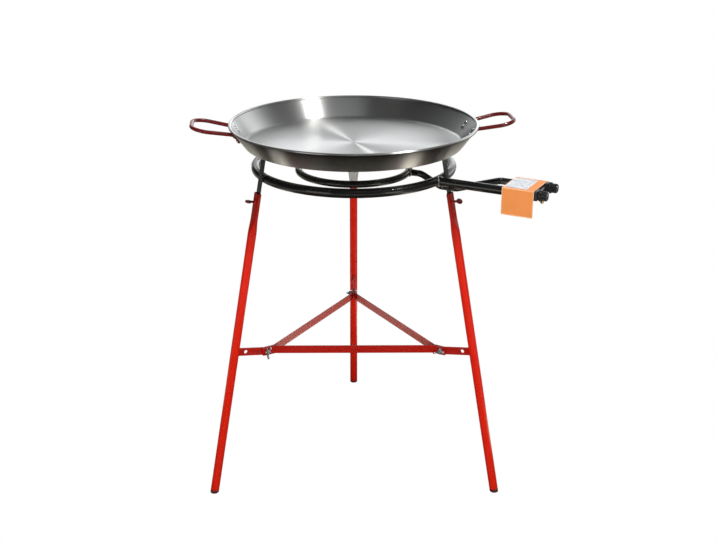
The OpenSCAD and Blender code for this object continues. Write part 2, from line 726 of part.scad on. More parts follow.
// Thumbscrew with a flat round head
module thumb_screw(az, turn) color("maroon") placed() screw_frame(az) rotate([0, 0, turn]) {
    translate([0, 0, strip_face + seat_gap]) cylinder(d = screw_d, h = screw_head_at - strip_face - seat_gap);
    translate([0, 0, screw_head_at]) rotate([90, 0, 0])
        cylinder(d = screw_head_d, h = screw_head_t, center = true);
}

// Brace

// Flat bar welded square to the leg, with a spare hole and the brace bolt's hole
module leg_ear(az) color("red") placed() leg_frame(az) difference() {
    translate([0, 0, ear_at]) rotate([90, 0, 0]) linear_extrude(ear_t, center = true) difference() {
        union() {
            translate([-bolt_reach, -ear_w / 2]) square([bolt_reach, ear_w]);
            translate([-bolt_reach, 0]) circle(d = ear_w);
        }
        for (at = [bolt_reach, spare_reach])
            translate([-at, 0]) circle(d = bolt_hole_d);
    }
    translate([0, 0, ear_at - ear_w]) cylinder(d = leg_d, h = 2 * ear_w);
}
// Point in plan at radius r and offset t from the leg at az
function in_plan(az, r, t) = [r * cos(az) - t * sin(az), r * sin(az) + t * cos(az)];
// Bar on edge between the ears of two legs, with both ends bent to lie on the ears
module brace_bar(az) color("red") placed() difference() {
    translate([0, 0, bolt_z - bar_w / 2]) linear_extrude(bar_w) strip_outline([
        in_plan(az, bolt_r + bar_tail, bar_off),
        in_plan(az, bolt_r - bar_bend, bar_off),
        in_plan(az + leg_step, bolt_r - bar_bend, -bar_off),
        in_plan(az + leg_step, bolt_r + bar_tail, -bar_off)
    ], bar_t);
    for (end = [az, az + leg_step])
        bolt_frame(end, 1) cylinder(d = bolt_hole_d, h = 4 * stack, center = true);
}
module brace_bolt(az, side) color("silver") placed() bolt_frame(az, side) {
    translate([0, 0, -stack - bolt_head_h])
        cylinder(d = bolt_af / cos(30), h = bolt_head_h, $fn = 6);
    translate([0, 0, -stack - cut]) cylinder(d = bolt_d, h = 2 * stack + cut + seat_gap + nut_h + bolt_out);
}
// One wing of a wing nut, with a round tip
module nut_wing_outline() {
    translate(nut_tip) circle(r = nut_tip_r);
    polygon([
        [0, nut_wing_base], [nut_d / 2 - nut_root, nut_wing_base],
        nut_tip + nut_tip_r * [cos(tip_from), sin(tip_from)],
        nut_tip + nut_tip_r * [cos(tip_to), sin(tip_to)],
        [nut_top_d / 2 - nut_root, nut_h - nut_root], [0, nut_h - nut_root]
    ]);
}
// Wing nut: a tapered hub and two rounded wings
module wing_nut(az, side, turn) color("silver") placed() bolt_frame(az, side)
    translate([0, 0, stack + seat_gap]) rotate([0, 0, turn]) difference() {
        union() {
            cylinder(d1 = nut_d, d2 = nut_top_d, h = nut_h);
            rotate([90, 0, 0]) linear_extrude(nut_wing_t, center = true)
                for (flip = [0, 1])
                    mirror([flip, 0]) nut_wing_outline();
        }
        translate([0, 0, -cut]) cylinder(d = bolt_d + 2 * run_gap, h = nut_tall + 2 * cut);
    }

pan_shell();
pan_handle_left();
pan_handle_right();
pan_rivets_left();
pan_rivets_right();
outer_ring();
inner_ring();
outer_feed_pipe();
inner_feed_pipe();
pan_support(az_left);  // pan_support_left
pan_support(az_right);  // pan_support_right
pan_support(az_rear);  // pan_support_rear
tap_body(-feed_off, outer_feed_d);  // tap_body_outer
tap_body(feed_off, inner_feed_d);  // tap_body_inner
tap_gland(-feed_off);  // tap_gland_outer
tap_gland(feed_off);  // tap_gland_inner
tap_spindle(-feed_off);  // tap_spindle_outer
tap_spindle(feed_off);  // tap_spindle_inner
tap_knob(-feed_off);  // tap_knob_outer
tap_knob(feed_off);  // tap_knob_inner
injector(-feed_off);  // injector_outer
injector(feed_off);  // injector_inner
gas_rail();
hose_tail();
card_sleeve();
card_label();
leg(az_left);  // leg_left
leg(az_right);  // leg_right
leg(az_rear);  // leg_rear
foot_plug(az_left);  // foot_plug_left
foot_plug(az_right);  // foot_plug_right
foot_plug(az_rear);  // foot_plug_rear
leg_thread_inserts();
thumb_screw(az_left, turn_left);  // thumb_screw_left
thumb_screw(az_right, turn_right);  // thumb_screw_right
thumb_screw(az_rear, turn_rear);  // thumb_screw_rear
leg_ear(az_left);  // leg_ear_left
leg_ear(az_right);  // leg_ear_right
leg_ear(az_rear);  // leg_ear_rear
brace_bar(az_left);  // brace_bar_front
brace_bar(az_right);  // brace_bar_right
brace_bar(az_rear);  // brace_bar_left
brace_bolt(az_left, nut_side_left);  // brace_bolt_left
brace_bolt(az_right, nut_side_right);  // brace_bolt_right
brace_bolt(az_rear, nut_side_rear);  // brace_bolt_rear
wing_nut(az_left, nut_side_left, nut_turn_left);  // wing_nut_left
wing_nut(az_right, nut_side_right, nut_turn_right);  // wing_nut_right
wing_nut(az_rear, nut_side_rear, nut_turn_rear);  // wing_nut_rear
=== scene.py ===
"""Finished pieces and materials of a paella burner: pan, two-ring gas burner and three-legged stand."""

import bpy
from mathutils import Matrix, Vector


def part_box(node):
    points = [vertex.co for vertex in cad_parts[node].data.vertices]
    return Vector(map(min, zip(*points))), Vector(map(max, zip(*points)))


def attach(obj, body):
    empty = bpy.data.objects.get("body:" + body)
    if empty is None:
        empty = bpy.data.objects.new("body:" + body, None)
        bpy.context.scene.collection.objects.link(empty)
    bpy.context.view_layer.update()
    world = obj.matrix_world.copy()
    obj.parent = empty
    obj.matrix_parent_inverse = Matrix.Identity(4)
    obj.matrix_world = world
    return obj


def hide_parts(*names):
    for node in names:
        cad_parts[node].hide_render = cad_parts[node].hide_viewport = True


bl_info = {
    "name": "Paella Burner",
    "version": (1, 0, 0),
    "blender": (4, 5, 0),
    "location": "View3D > Sidebar > Burner",
    "description": "Builds the finished pieces of a two-ring paella burner, its stand and its pan",
    "category": "Object",
}

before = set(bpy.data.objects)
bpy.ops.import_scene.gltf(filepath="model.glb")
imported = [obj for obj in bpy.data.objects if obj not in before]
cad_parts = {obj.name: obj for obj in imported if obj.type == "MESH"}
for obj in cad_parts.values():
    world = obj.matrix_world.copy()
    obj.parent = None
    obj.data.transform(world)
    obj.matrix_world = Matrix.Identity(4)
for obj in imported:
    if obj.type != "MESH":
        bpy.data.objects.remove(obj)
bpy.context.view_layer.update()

from math import asin, atan2, copysign, cos, pi, radians, sin, sqrt, tan

import bmesh
import bpy
from mathutils import Matrix, Vector

# Directions of the legs and of each bar's first end, in degrees from the X axis
SIDES = {"left": -150, "right": -30, "rear": 90}
BARS = {"front": -150, "right": -30, "left": 90}
BAR_SPAN = 120

# How far each screw and nut is turned, in degrees, and which way each nut faces
SCREW_TURNS = {"left": 80, "right": 20, "rear": 45}
NUT_TURNS = {"left": 75, "right": 15, "rear": 20}
NUT_FACES = {"left": 1, "right": -1, "rear": 1}

# On which side of the feed direction each tap is, and how far each handle is turned round the pan
TAPS = {"outer": -1, "inner": 1}
HANDLES = {"right": 0.0, "left": pi}

# Places that come from the frame, in metres
PAN_LOW, PAN_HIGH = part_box("pan_shell")
AXIS = (PAN_LOW + PAN_HIGH) / 2
RIM_R = (PAN_HIGH.x - PAN_LOW.x) / 2
RING_LOW, RING_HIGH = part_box("outer_ring")
INNER_LOW, INNER_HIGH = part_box("inner_ring")
OUTER_Z = (RING_LOW.z + RING_HIGH.z) / 2
INNER_Z = (INNER_LOW.z + INNER_HIGH.z) / 2
OUTER_TUBE_R = (RING_HIGH.z - RING_LOW.z) / 2
INNER_TUBE_R = (INNER_HIGH.z - INNER_LOW.z) / 2
OUTER_R = (RING_HIGH.x - RING_LOW.x) / 2 - OUTER_TUBE_R
INNER_R = (INNER_HIGH.x - INNER_LOW.x) / 2 - INNER_TUBE_R
BURNER = Matrix.Translation((AXIS.x, AXIS.y, 0))

# Small sizes of the making, in metres: a running fit, how close points are merged, and rounded edges
FIT = 0.00005
MERGE = 1e-7
LOOP_MERGE = 1e-6
CAD_MERGE = 2e-6
EDGES = {
    "tap": 0.0014, "gland": 0.0005, "rail_nut": 0.0006, "bush": 0.0002, "bolt": 0.0003, "strip": 0.0005,
    "card": 0.0002, "label": 0.00008, "pointer": 0.0001, "wing": 0.0011,
}


# Sizes and colours that a user may change

def length(name, description, default):
    return bpy.props.FloatProperty(
        name=name, description=description, default=default, min=0, unit="LENGTH", precision=4
    )


def angle(name, description, degrees):
    return bpy.props.FloatProperty(
        name=name, description=description, default=radians(degrees), subtype="ANGLE"
    )


def count(name, description, default):
    return bpy.props.IntProperty(name=name, description=description, default=default, min=3)


def colour(name, description, default):
    return bpy.props.FloatVectorProperty(
        name=name, description=description, default=default, size=3, min=0, max=1, subtype="COLOR"
    )


class BurnerPanSizes(bpy.types.PropertyGroup):
    """Sizes of the pan, its handles and its rivets."""

    base_r: length("Base radius", "Where the flat base meets the sloping wall", 0.262)
    sheet: length("Sheet", "Thickness of the pan's sheet steel", 0.0015)
    corner_r: length("Corner radius", "Inside radius between the base and the wall", 0.010)
    bead_d: length("Rim bead", "Diameter of the rolled bead along the rim", 0.007)
    turn: angle("Turn", "Angle from the X axis to the line through the handles", 5)
    rod_d: length("Handle bar", "Diameter of the handle's round bar", 0.0095)
    rod_gap: length("Bar gap", "Gap between the bar and the wall at its bend", 0.0008)
    loop_w: length("Handle width", "Width of the handle loop over the bar at its tip", 0.138)
    root_w: length("Handle root width", "Width of the loop over the bar where it leaves the wall", 0.096)
    loop_reach: length("Handle reach", "How far the loop reaches beyond the rim", 0.090)
    loop_corner: length("Handle corner", "Outside radius of the loop's corners", 0.040)
    loop_rise: angle("Handle rise", "Upward slope of the loop", 10.5)
    seat: length("Handle seat", "Distance up the wall from the base to the bend of the bar", 0.050)
    bend_run: length("Bend run", "Distance along the loop from the bend to the round bar", 0.009)
    bend_back: length("Bend back", "How far behind the bend the loop's straight run begins", 0.002)
    bend_corner: length("Bend corner", "Distance down the wall from the seat to the bend's corner", 0.0026)
    pad_bend: length("Pad bend", "Distance down the wall from the seat to where the pad bends", 0.0135)
    pad_w: length("Pad width", "Width of the flattened pad on the wall", 0.014)
    pad_t: length("Pad thickness", "Thickness of the flattened pad", 0.004)
    pad_l: length("Pad length", "Length of the pad down the wall", 0.030)
    rivet_d: length("Rivet head", "Diameter of the rivet heads", 0.011)
    rivet_h: length("Rivet head height", "Height of the rivet heads", 0.0025)
    rivet_first: length("First rivet", "Distance from the bend to the upper rivet", 0.009)
    rivet_pitch: length("Rivet pitch", "Distance between the rivets of a pad", 0.014)
    steps: count("Steps round", "Faces round the pan", 256)


class BurnerGasSizes(bpy.types.PropertyGroup):
    """Sizes of the feed pipes, taps, rail and card sleeve."""

    feed_turn: angle("Feed direction", "Direction of the feed pipes from the X axis", -28)
    feed_gap: length("Feed spacing", "Distance between the two feed pipes", 0.070)
    feed_end: length("Feed end", "Distance from the burner's axis to the pipes' ends", 0.460)
    outer_feed_d: length("Outer feed pipe", "Diameter of the outer ring's feed pipe", 0.021)
    inner_feed_d: length("Inner feed pipe", "Diameter of the inner ring's feed pipe", 0.016)
    tap_l: length("Tap length", "Length of the tap body along the pipe", 0.022)
    tap_w: length("Tap width", "Width of the tap body", 0.022)
    gland_t: length("Gland thickness", "Thickness of the gland nut", 0.003)
    gland_d: length("Gland diameter", "Diameter over the gland nut's corners", 0.017)
    stem_d: length("Stem diameter", "Diameter of the tap's stem", 0.007)
    knob_gap: length("Knob gap", "Gap between the gland nut and the knob", 0.0002)
    knob_d: length("Knob diameter", "Diameter of the knob's skirt", 0.026)
    knob_body_d: length("Knob body", "Diameter of the knob's gripped body", 0.022)
    knob_l: length("Knob length", "Length of the knob", 0.018)
    knob_skirt: length("Knob skirt", "Thickness of the knob's skirt", 0.004)
    knob_ribs: count("Knob ribs", "Number of grip ribs round the knob", 12)
    knob_rib_r: length("Knob rib", "Radius of the grip ribs", 0.0019)
    knob_groove: length("Knob groove", "Depth of the grooves between the ribs", 0.0011)
    knob_round: length("Knob rounding", "Radius along the knob's front edge", 0.0016)
    pointer_w: length("Pointer width", "Width of the white pointer", 0.0018)
    pointer_from: length("Pointer start", "Distance from the knob's axis to the pointer", 0.0012)
    pointer_to: length("Pointer end", "Distance from the knob's axis to the pointer's end", 0.0064)
    rail_d: length("Rail", "Diameter of the rail between the taps", 0.014)
    rail_back: length("Rail setback", "Distance from the taps' front to the rail's axis", 0.007)
    rail_nut: length("Rail nut", "Diameter over the corners of the rail's nuts", 0.0185)
    rail_nut_l: length("Rail nut length", "Length of the rail's nuts", 0.006)
    inlet_off: length("Inlet offset", "Distance of the gas inlet from the rail's middle", 0.015)
    collar_d: length("Inlet collar", "Diameter of the inlet's collar", 0.012)
    collar_l: length("Inlet collar length", "Length of the collar below the rail", 0.006)
    tail_d: length("Hose tail", "Diameter of the hose tail over its barbs", 0.009)
    tail_bore: length("Hose tail bore", "Diameter of the gas way in the hose tail", 0.005)
    tail_l: length("Hose tail length", "Length of the hose tail", 0.020)
    tail_neck: length("Hose tail neck", "Plain length above the barbs", 0.004)
    barbs: count("Barbs", "Number of barbs on the hose tail", 4)
    barb_h: length("Barb height", "Height of the barbs", 0.0011)
    card_start: length("Sleeve start", "Distance from the burner's axis to the sleeve", 0.400)
    card_l: length("Sleeve length", "Length of the sleeve along the pipes", 0.075)
    card_h: length("Sleeve height", "Height of the sleeve's side flaps", 0.063)
    card_rear_up: length("Rear flap rise", "How much shorter the rear flap is", 0.018)
    card_w: length("Sleeve width", "Width of the sleeve between its flaps' middles", 0.0948)
    card_t: length("Card", "Thickness of the card", 0.0008)
    card_fold: length("Card fold", "Radius of the card's folds", 0.0016)
    card_corner: length("Card corner", "Radius of the card's corners", 0.0012)
    card_belly: length("Card belly", "How far the flaps belly out", 0.0016)
    card_wear: length("Card wear", "Width of the worn line along folds and edges", 0.0016)
    card_rest: length("Sleeve rest", "Least diameter of what the sleeve lies on", 0.021)
    label_l: length("Label length", "Length of the bare label", 0.054)
    label_w: length("Label width", "Width of the bare label", 0.080)
    label_t: length("Label thickness", "Thickness of the label", 0.0003)
    label_corner: length("Label corner", "Radius of the label's corners", 0.0015)
    label_margin: length("Label margin", "Margin between the label and the sleeve's end", 0.002)


class BurnerStandSizes(bpy.types.PropertyGroup):
    """Sizes of the supports, legs, screws and brace."""

    lean: angle("Lean", "Lean of the legs from upright", 11)
    strip_w: length("Strip width", "Width of the support strips", 0.018)
    strip_t: length("Strip thickness", "Thickness of the support strips", 0.003)
    strip_bend: length("Strip bend", "Bend radius of the support strips", 0.005)
    strip_corner: length("Strip corner", "Radius of the strips' corners", 0.004)
    tab_l: length("Tab length", "Length of the tab that carries the pan", 0.035)
    engage: length("Strip in leg", "Length of strip inside the leg's flattened top", 0.046)
    leg_d: length("Leg tube", "Diameter of the leg tubes", 0.021)
    leg_wall: length("Leg wall", "Wall of the leg tubes", 0.0015)
    top_gap: length("Leg top", "Distance along the leg from the ring to the leg's top", 0.036)
    flat_t: length("Flat thickness", "Thickness of the leg's flattened top", 0.009)
    flat_w: length("Flat width", "Width of the leg's flattened top", 0.0275)
    flat_l: length("Flat length", "Length of the leg's flattened top", 0.060)
    ramp: length("Flat ramp", "Length over which the tube becomes flat", 0.040)
    # Painted shade: the leg enamel is darkened up the legs' tops where the pan shadows them.
    pan_shadow_from: length("Shadow start", "Distance below the ramp where the enamel begins to darken", 0.064)
    pan_shadow_l: length("Shadow length", "Length over which the enamel darkens", 0.15)
    plug_show: length("Foot cap", "Height of the foot cap below the tube", 0.008)
    plug_in: length("Foot cap spigot", "Length of the foot cap inside the tube", 0.010)
    screw_d: length("Thumbscrew", "Diameter of the thumbscrew's thread", 0.006)
    screw_pitch: length("Thumbscrew pitch", "Pitch of the thumbscrew's thread", 0.001)
    screw_drop: length("Thumbscrew place", "Distance from the leg's top to the thumbscrew", 0.021)
    screw_neck: length("Thumbscrew neck", "Length of shank between leg and head", 0.010)
    head_d: length("Thumbscrew head", "Diameter of the flat head", 0.015)
    head_t: length("Thumbscrew head thickness", "Thickness of the flat head", 0.005)
    ear_up: length("Ear height", "Distance along the leg from the floor to the ear", 0.378)
    ear_w: length("Ear width", "Width of the ears and brace bars", 0.020)
    ear_t: length("Ear thickness", "Thickness of the ears and brace bars", 0.003)
    bolt_reach: length("Bolt reach", "Distance from the leg's axis to the brace bolt", 0.086)
    spare_reach: length("Spare hole reach", "Distance from the leg's axis to the spare hole", 0.029)
    hole_d: length("Holes", "Diameter of the bolt holes and spare holes", 0.009)
    bar_tail: length("Bar tail", "Length of the bar's end past the bolt", 0.012)
    bar_bend: length("Bar bend", "Distance from the bolt to the bend in the bar", 0.022)
    bar_bend_r: length("Bar bend radius", "Bend radius of the brace bars", 0.006)
    bar_corner: length("Bar corner", "Radius of the bars' corners", 0.003)
    # Painted sheen: the side bars and the rear ear are paler red away from the bolts, standing in for the
    # light they reflect.
    unsheened: length("Unsheened enamel", "Distance past a bar's bend where the enamel isn't faded", 0.010)
    sheen_l: length("Sheening", "Length over which fresh enamel becomes faded", 0.012)
    bolt_d: length("Brace bolt", "Diameter of the brace bolts", 0.008)
    bolt_pitch: length("Bolt pitch", "Pitch of the bolts' thread", 0.00125)
    bolt_af: length("Bolt head", "Width across the flats of the bolt heads", 0.013)
    bolt_head: length("Bolt head height", "Height of the bolt heads", 0.0053)
    bolt_out: length("Bolt end", "Length of bolt past the wing nut's hub", 0.003)
    nut_d: length("Wing nut hub", "Diameter of the hub at its base", 0.015)
    nut_top_d: length("Wing nut hub top", "Diameter of the hub at its top", 0.013)
    nut_h: length("Wing nut hub height", "Height of the wing nut's hub", 0.009)
    nut_bore_gap: length("Wing nut bore gap", "Gap between the bolt and the nut's bore", 0.0001)
    nut_span: length("Wing span", "Span over the two wings", 0.032)
    nut_tall: length("Wing height", "Height of the wing nut over its wings", 0.016)
    nut_wing_t: length("Wing thickness", "Thickness of the wings", 0.003)
    nut_tip_r: length("Wing tip", "Radius of the wings' tips", 0.004)
    seat_gap: length("Seat gap", "Gap under a wing nut and a thumbscrew", 0.0002)
    bead_red: length("Ear weld", "Size of the weld drops along the ears", 0.0015)
    bead_black: length("Strip weld", "Size of the weld drops along the strips", 0.0017)
    bead_pipe: length("Pipe weld", "Size of the weld drops round the feed pipes", 0.0034)


class BurnerColours(bpy.types.PropertyGroup):
    """Base colours of the finishes."""

    steel: colour("Pan steel", "Brushed carbon steel of the pan", (0.56, 0.56, 0.545))
    leg_red: colour("Leg enamel", "Bright red enamel of the stand", (0.60, 0.011, 0.002))
    brace_red: colour("Brace enamel", "Deeper red enamel of ears and brace bars", (0.34, 0.006, 0.002))
    # Painted sheen: the paler red stands in for light reflected off the side bars and the rear ear.
    brace_sheen: colour("Sheened enamel", "Sheened red enamel of the side bars", (0.53, 0.105, 0.090))
    handle_red: colour("Handle enamel", "Dark red enamel of the pan handles", (0.105, 0.004, 0.005))
    screw_red: colour("Screw paint", "Dark red paint of the thumbscrews", (0.085, 0.006, 0.010))
    black: colour("Burner enamel", "Black enamel of rings, pipes and strips", (0.006, 0.006, 0.006))
    tap: colour("Tap coating", "Black coating of the tap bodies", (0.018, 0.018, 0.019))
    knob: colour("Knob plastic", "Black plastic of the knobs", (0.014, 0.014, 0.015))
    mark: colour("Knob mark", "White paint of the knob's pointer", (0.85, 0.85, 0.82))
    brass: colour("Brass", "Turned brass", (0.70, 0.47, 0.20))
    zinc: colour("Zinc plate", "Zinc-plated steel", (0.66, 0.67, 0.69))
    weld: colour("Weld steel", "Grey scale on the pipes' welds", (0.26, 0.26, 0.255))
    rivet: colour("Rivet steel", "Bright steel of the rivets", (0.72, 0.72, 0.72))
    card: colour("Card", "Orange printed card", (0.78, 0.27, 0.075))
    card_core: colour("Card core", "Pale board that shows at worn folds", (0.90, 0.72, 0.55))
    label: colour("Label", "Bare white paper", (0.68, 0.69, 0.69))
    label_ink: colour("Label ink", "Grey-blue of the label's plain bars", (0.14, 0.21, 0.30))
    foot: colour("Foot caps", "Dark moulded foot caps", (0.075, 0.008, 0.006))
    # Grey laid inside the rear leg's flattened top, on its inner face.
    bare: colour("Bare steel", "Dull steel inside the rear leg's flattened top", (0.36, 0.36, 0.355))
    # Painted shadow and painted light on the floor, seen only in reflections.
    floor: colour("Floor", "Floor as reflections see it", (0.80, 0.75, 0.64))
    floor_glow: colour("Floor strips", "Warm lit strips of the floor in reflections", (1.0, 0.95, 0.83))


# Placing

def turned(turn, axis):
    return Matrix.Rotation(turn, 4, axis)


def shifted(x, y, z):
    return Matrix.Translation((x, y, z))


def about_burner(degrees):
    return BURNER @ turned(radians(degrees), "Z")


class Stand:
    """The stand's derived places: supports, legs and brace, about the burner's axis."""

    def __init__(self, s):
        off = OUTER_TUBE_R + s.strip_t / 2
        self.lean = s.lean
        self.strip_r = OUTER_R + off * cos(s.lean)
        self.strip_z = OUTER_Z + off * sin(s.lean)
        self.bend_z = PAN_LOW.z - s.strip_t / 2
        self.bend_r = self.strip_r - (self.bend_z - self.strip_z) * tan(s.lean)
        self.shift = (s.flat_t - 2 * s.leg_wall - s.strip_t) / 2
        self.top = -s.top_gap
        self.flat_from = self.top - s.flat_l
        self.round_to = self.flat_from - s.ramp
        self.foot = -(self.strip_z + self.shift * sin(s.lean)) / cos(s.lean)
        self.tube_end = self.foot + s.plug_show
        self.screw_at = self.top - s.screw_drop
        self.ear_at = self.foot + s.ear_up
        bolt_x = self.shift - s.bolt_reach
        self.bolt_r = self.strip_r + bolt_x * cos(s.lean) - self.ear_at * sin(s.lean)
        self.bolt_z = self.strip_z + bolt_x * sin(s.lean) + self.ear_at * cos(s.lean)
        self.stack = 1.5 * s.ear_t

    def strip(self, azimuth):
        return about_burner(azimuth) @ shifted(self.strip_r, 0, self.strip_z) @ turned(-self.lean, "Y")

    def leg(self, azimuth):
        return self.strip(azimuth) @ shifted(self.shift, 0, 0)

    def screw(self, azimuth):
        return self.leg(azimuth) @ shifted(0, 0, self.screw_at) @ turned(pi / 2, "Y")

    def bolt(self, side):
        place = about_burner(SIDES[side]) @ shifted(self.bolt_r, 0, self.bolt_z)
        return place @ turned(-NUT_FACES[side] * pi / 2, "X")


class Gas:
    """The feed pipes' derived places, along the feed direction."""

    def __init__(self, s):
        self.turn = s.feed_turn
        self.off = s.feed_gap / 2
        self.tap_end = s.feed_end + s.tap_l
        self.gland_end = self.tap_end + s.gland_t
        self.rail_at = self.tap_end - s.rail_back
        self.card_top = max(s.outer_feed_d, s.card_rest) / 2 + FIT + s.card_t / 2
        self.stem_bore = s.stem_d / 2 + FIT

    def feed(self, off):
        return BURNER @ turned(self.turn, "Z") @ shifted(0, off, OUTER_Z)

    def tap(self, name):
        """A tap's frame with Z along its pipe."""
        return self.feed(TAPS[name] * self.off) @ turned(pi / 2, "Y")


class Pan:
    """The pan's derived places, from the middle of its base."""

    def __init__(self, s):
        self.place = BURNER @ shifted(0, 0, PAN_LOW.z) @ turned(s.turn, "Z")
        self.bead = s.bead_d / 2
        self.bead_r = RIM_R - self.bead
        self.bead_up = PAN_HIGH.z - PAN_LOW.z - self.bead
        run = sqrt((self.bead_r - s.base_r) ** 2 + self.bead_up ** 2)
        self.wall = atan2(self.bead_up, self.bead_r - s.base_r) - asin(s.sheet / 2 / run)
        self.corner_out = s.corner_r + s.sheet
        self.corner_x = s.base_r - self.corner_out * tan(self.wall / 2)
        stand_off = s.rod_d / 2 + s.rod_gap
        self.grip_y = (s.root_w - s.rod_d) / 2
        self.tip_y = (s.loop_w - s.rod_d) / 2
        grip_r = s.base_r + s.seat * cos(self.wall) + stand_off * sin(self.wall)
        self.grip_z = s.seat * sin(self.wall) - stand_off * cos(self.wall)
        self.grip_turn = asin(self.grip_y / grip_r)
        self.grip_x = grip_r * cos(self.grip_turn)
        self.grip_l = (RIM_R + s.loop_reach - s.rod_d / 2 - self.grip_x) / cos(s.loop_rise)
        self.flare = atan2(self.tip_y - self.grip_y, self.grip_l + s.bend_back)
        self.base_r = s.base_r

    def on_wall(self, side):
        """A frame on the wall beside a handle: Z outward, Y up along the wall."""
        place = turned(side * self.grip_turn, "Z") @ shifted(self.base_r, 0, 0)
        return place @ turned(pi / 2 - self.wall, "Y") @ turned(pi / 2, "Z") @ turned(pi / 2, "X")


# Outlines

def circle(radius, steps, x=0.0, y=0.0):
    """Points round a circle in the XY plane."""
    turns = [2 * pi * i / steps for i in range(steps)]
    return [(x + radius * cos(a), y + radius * sin(a)) for a in turns]


def arc(radius, x, y, first, last, steps):
    """Points along an arc in a plane, both ends among them."""
    turns = [first + (last - first) * k / steps for k in range(steps + 1)]
    return [(x + radius * cos(a), y + radius * sin(a)) for a in turns]


def oval(half_x, half_y, squareness, steps):
    """Points round an oval whose corners fill out as squareness grows past 2."""
    power = 2 / squareness
    return [
        (copysign(abs(c) ** power, c) * half_x, copysign(abs(s) ** power, s) * half_y)
        for c, s in circle(1.0, steps)
    ]


def rounded(corners, radius, steps=6):
    """A closed outline with its corners rounded by short arcs."""
    points = []
    total = len(corners)
    for i, corner in enumerate(corners):
        here = Vector(corner)
        before = (Vector(corners[i - 1]) - here).normalized()
        after = (Vector(corners[(i + 1) % total]) - here).normalized()
        for k in range(steps + 1):
            t = k / steps
            points.append(here + radius * (before * (1 - t) ** 2 + after * t ** 2))
    return [(p.x, p.y) for p in points]


def oblong(x0, x1, y0, y1, radius):
    return rounded([(x0, y0), (x1, y0), (x1, y1), (x0, y1)], radius)


def smooth_step(t):
    t = min(max(t, 0.0), 1.0)
    return t * t * (3 - 2 * t)


class Route:
    """A path of straight runs and round bends in a plane, measured along its middle."""

    def __init__(self, points, radius):
        self.runs = []
        self.bends = []
        self.length = 0.0
        points = [Vector(p) for p in points]
        start = points[0]
        for i in range(1, len(points)):
            ahead = (points[i] - points[i - 1]).normalized()
            if i == len(points) - 1:
                self.add_run(start, ahead, (points[i] - start).length, 0.0)
                break
            after = (points[i + 1] - points[i]).normalized()
            turn = atan2(ahead.x * after.y - ahead.y * after.x, ahead.dot(after))
            trim = radius * tan(abs(turn) / 2)
            end = points[i] - ahead * trim
            self.add_run(start, ahead, (end - start).length, 0.0)
            self.bends.append((self.length, self.length + radius * abs(turn)))
            self.add_run(end, ahead, radius * abs(turn), copysign(1 / radius, turn))
            start = points[i] + after * trim

    def add_run(self, start, ahead, run, bend):
        self.runs.append((self.length, run, start, ahead, bend))
        self.length += run

    def at(self, distance):
        """The point and direction at a distance along the route."""
        for begin, run, start, ahead, bend in self.runs:
            if distance <= begin + run or begin + run >= self.length - 1e-9:
                break
        s = distance - begin
        side = Vector((-ahead.y, ahead.x))
        if not bend:
            return start + ahead * s, ahead
        turn = s * bend
        point = start + (ahead * sin(turn) + side * (1 - cos(turn))) / bend
        return point, ahead * cos(turn) + side * sin(turn)


# Mesh making

def opened(*meshes):
    """Several meshes as one that can be edited; they are used up."""
    bm = bmesh.new()
    for mesh in meshes:
        bm.from_mesh(mesh)
        bpy.data.meshes.remove(mesh)
    return bm


def mesh_of(bm, name="shape"):
    mesh = bpy.data.meshes.new(name)
    bm.to_mesh(mesh)
    bm.free()
    return mesh


def joined(*meshes):
    return mesh_of(opened(*meshes))


def closed_up(bm, distance=MERGE):
    """The edited mesh as a plain one, with doubles merged and faces outwards."""
    bmesh.ops.remove_doubles(bm, verts=bm.verts, dist=distance)
    bmesh.ops.recalc_face_normals(bm, faces=bm.faces)
    return mesh_of(bm)


def wrap(bm, rings, closed=False):
    """Lays faces from ring to ring of a row; gives back the rings of points."""
    loops = [[bm.verts.new(p) for p in ring] for ring in rings]
    pairs = list(zip(loops, loops[1:]))
    if closed:
        pairs.append((loops[-1], loops[0]))
    for low, high in pairs:
        for i in range(len(low)):
            j = (i + 1) % len(low)
            bm.faces.new((low[i], low[j], high[j], high[i]))
    return loops


def skin(rings, matrix=Matrix(), closed=False):
    """A surface over a row of rings of equal counts; open rows get flat ends."""
    bm = bmesh.new()
    loops = wrap(bm, [[matrix @ Vector(p) for p in ring] for ring in rings], closed)
    if not closed:
        for loop in (loops[0], loops[-1]):
            if (loop[0].co - loop[len(loop) // 2].co).length > LOOP_MERGE:
                bm.faces.new(loop)
    return closed_up(bm)


def lathe(profile, steps, matrix=Matrix(), closed=False):
    """A turned shape about Z from (radius, height) points."""
    rings = [[(x, y, z) for x, y in circle(max(r, 1e-9), steps)] for r, z in profile]
    return skin(rings, matrix, closed)


def pipe_of(outside, bore, low, high, steps, matrix):
    """A straight pipe about Z, or a nut where there are six steps."""
    return lathe([(outside, low), (outside, high), (bore, high), (bore, low)], steps, matrix, closed=True)


def evaluated(obj):
    """The object's final shape as a plain mesh, with the object itself removed."""
    bpy.context.view_layer.update()
    depsgraph = bpy.context.evaluated_depsgraph_get()
    mesh = bpy.data.meshes.new_from_object(obj.evaluated_get(depsgraph), depsgraph=depsgraph)
    bpy.data.objects.remove(obj)
    return mesh


def placed(data, name="work"):
    obj = bpy.data.objects.new(name, data)
    bpy.context.scene.collection.objects.link(obj)
    return obj


def softened(mesh, width, segments=2):
    """The mesh with its sharp edges rounded."""
    obj = placed(mesh)
    bevel = obj.modifiers.new("edges", "BEVEL")
    bevel.width = width
    bevel.segments = segments
    bevel.limit_method = "ANGLE"
    bevel.angle_limit = radians(35)
    return evaluated(obj)


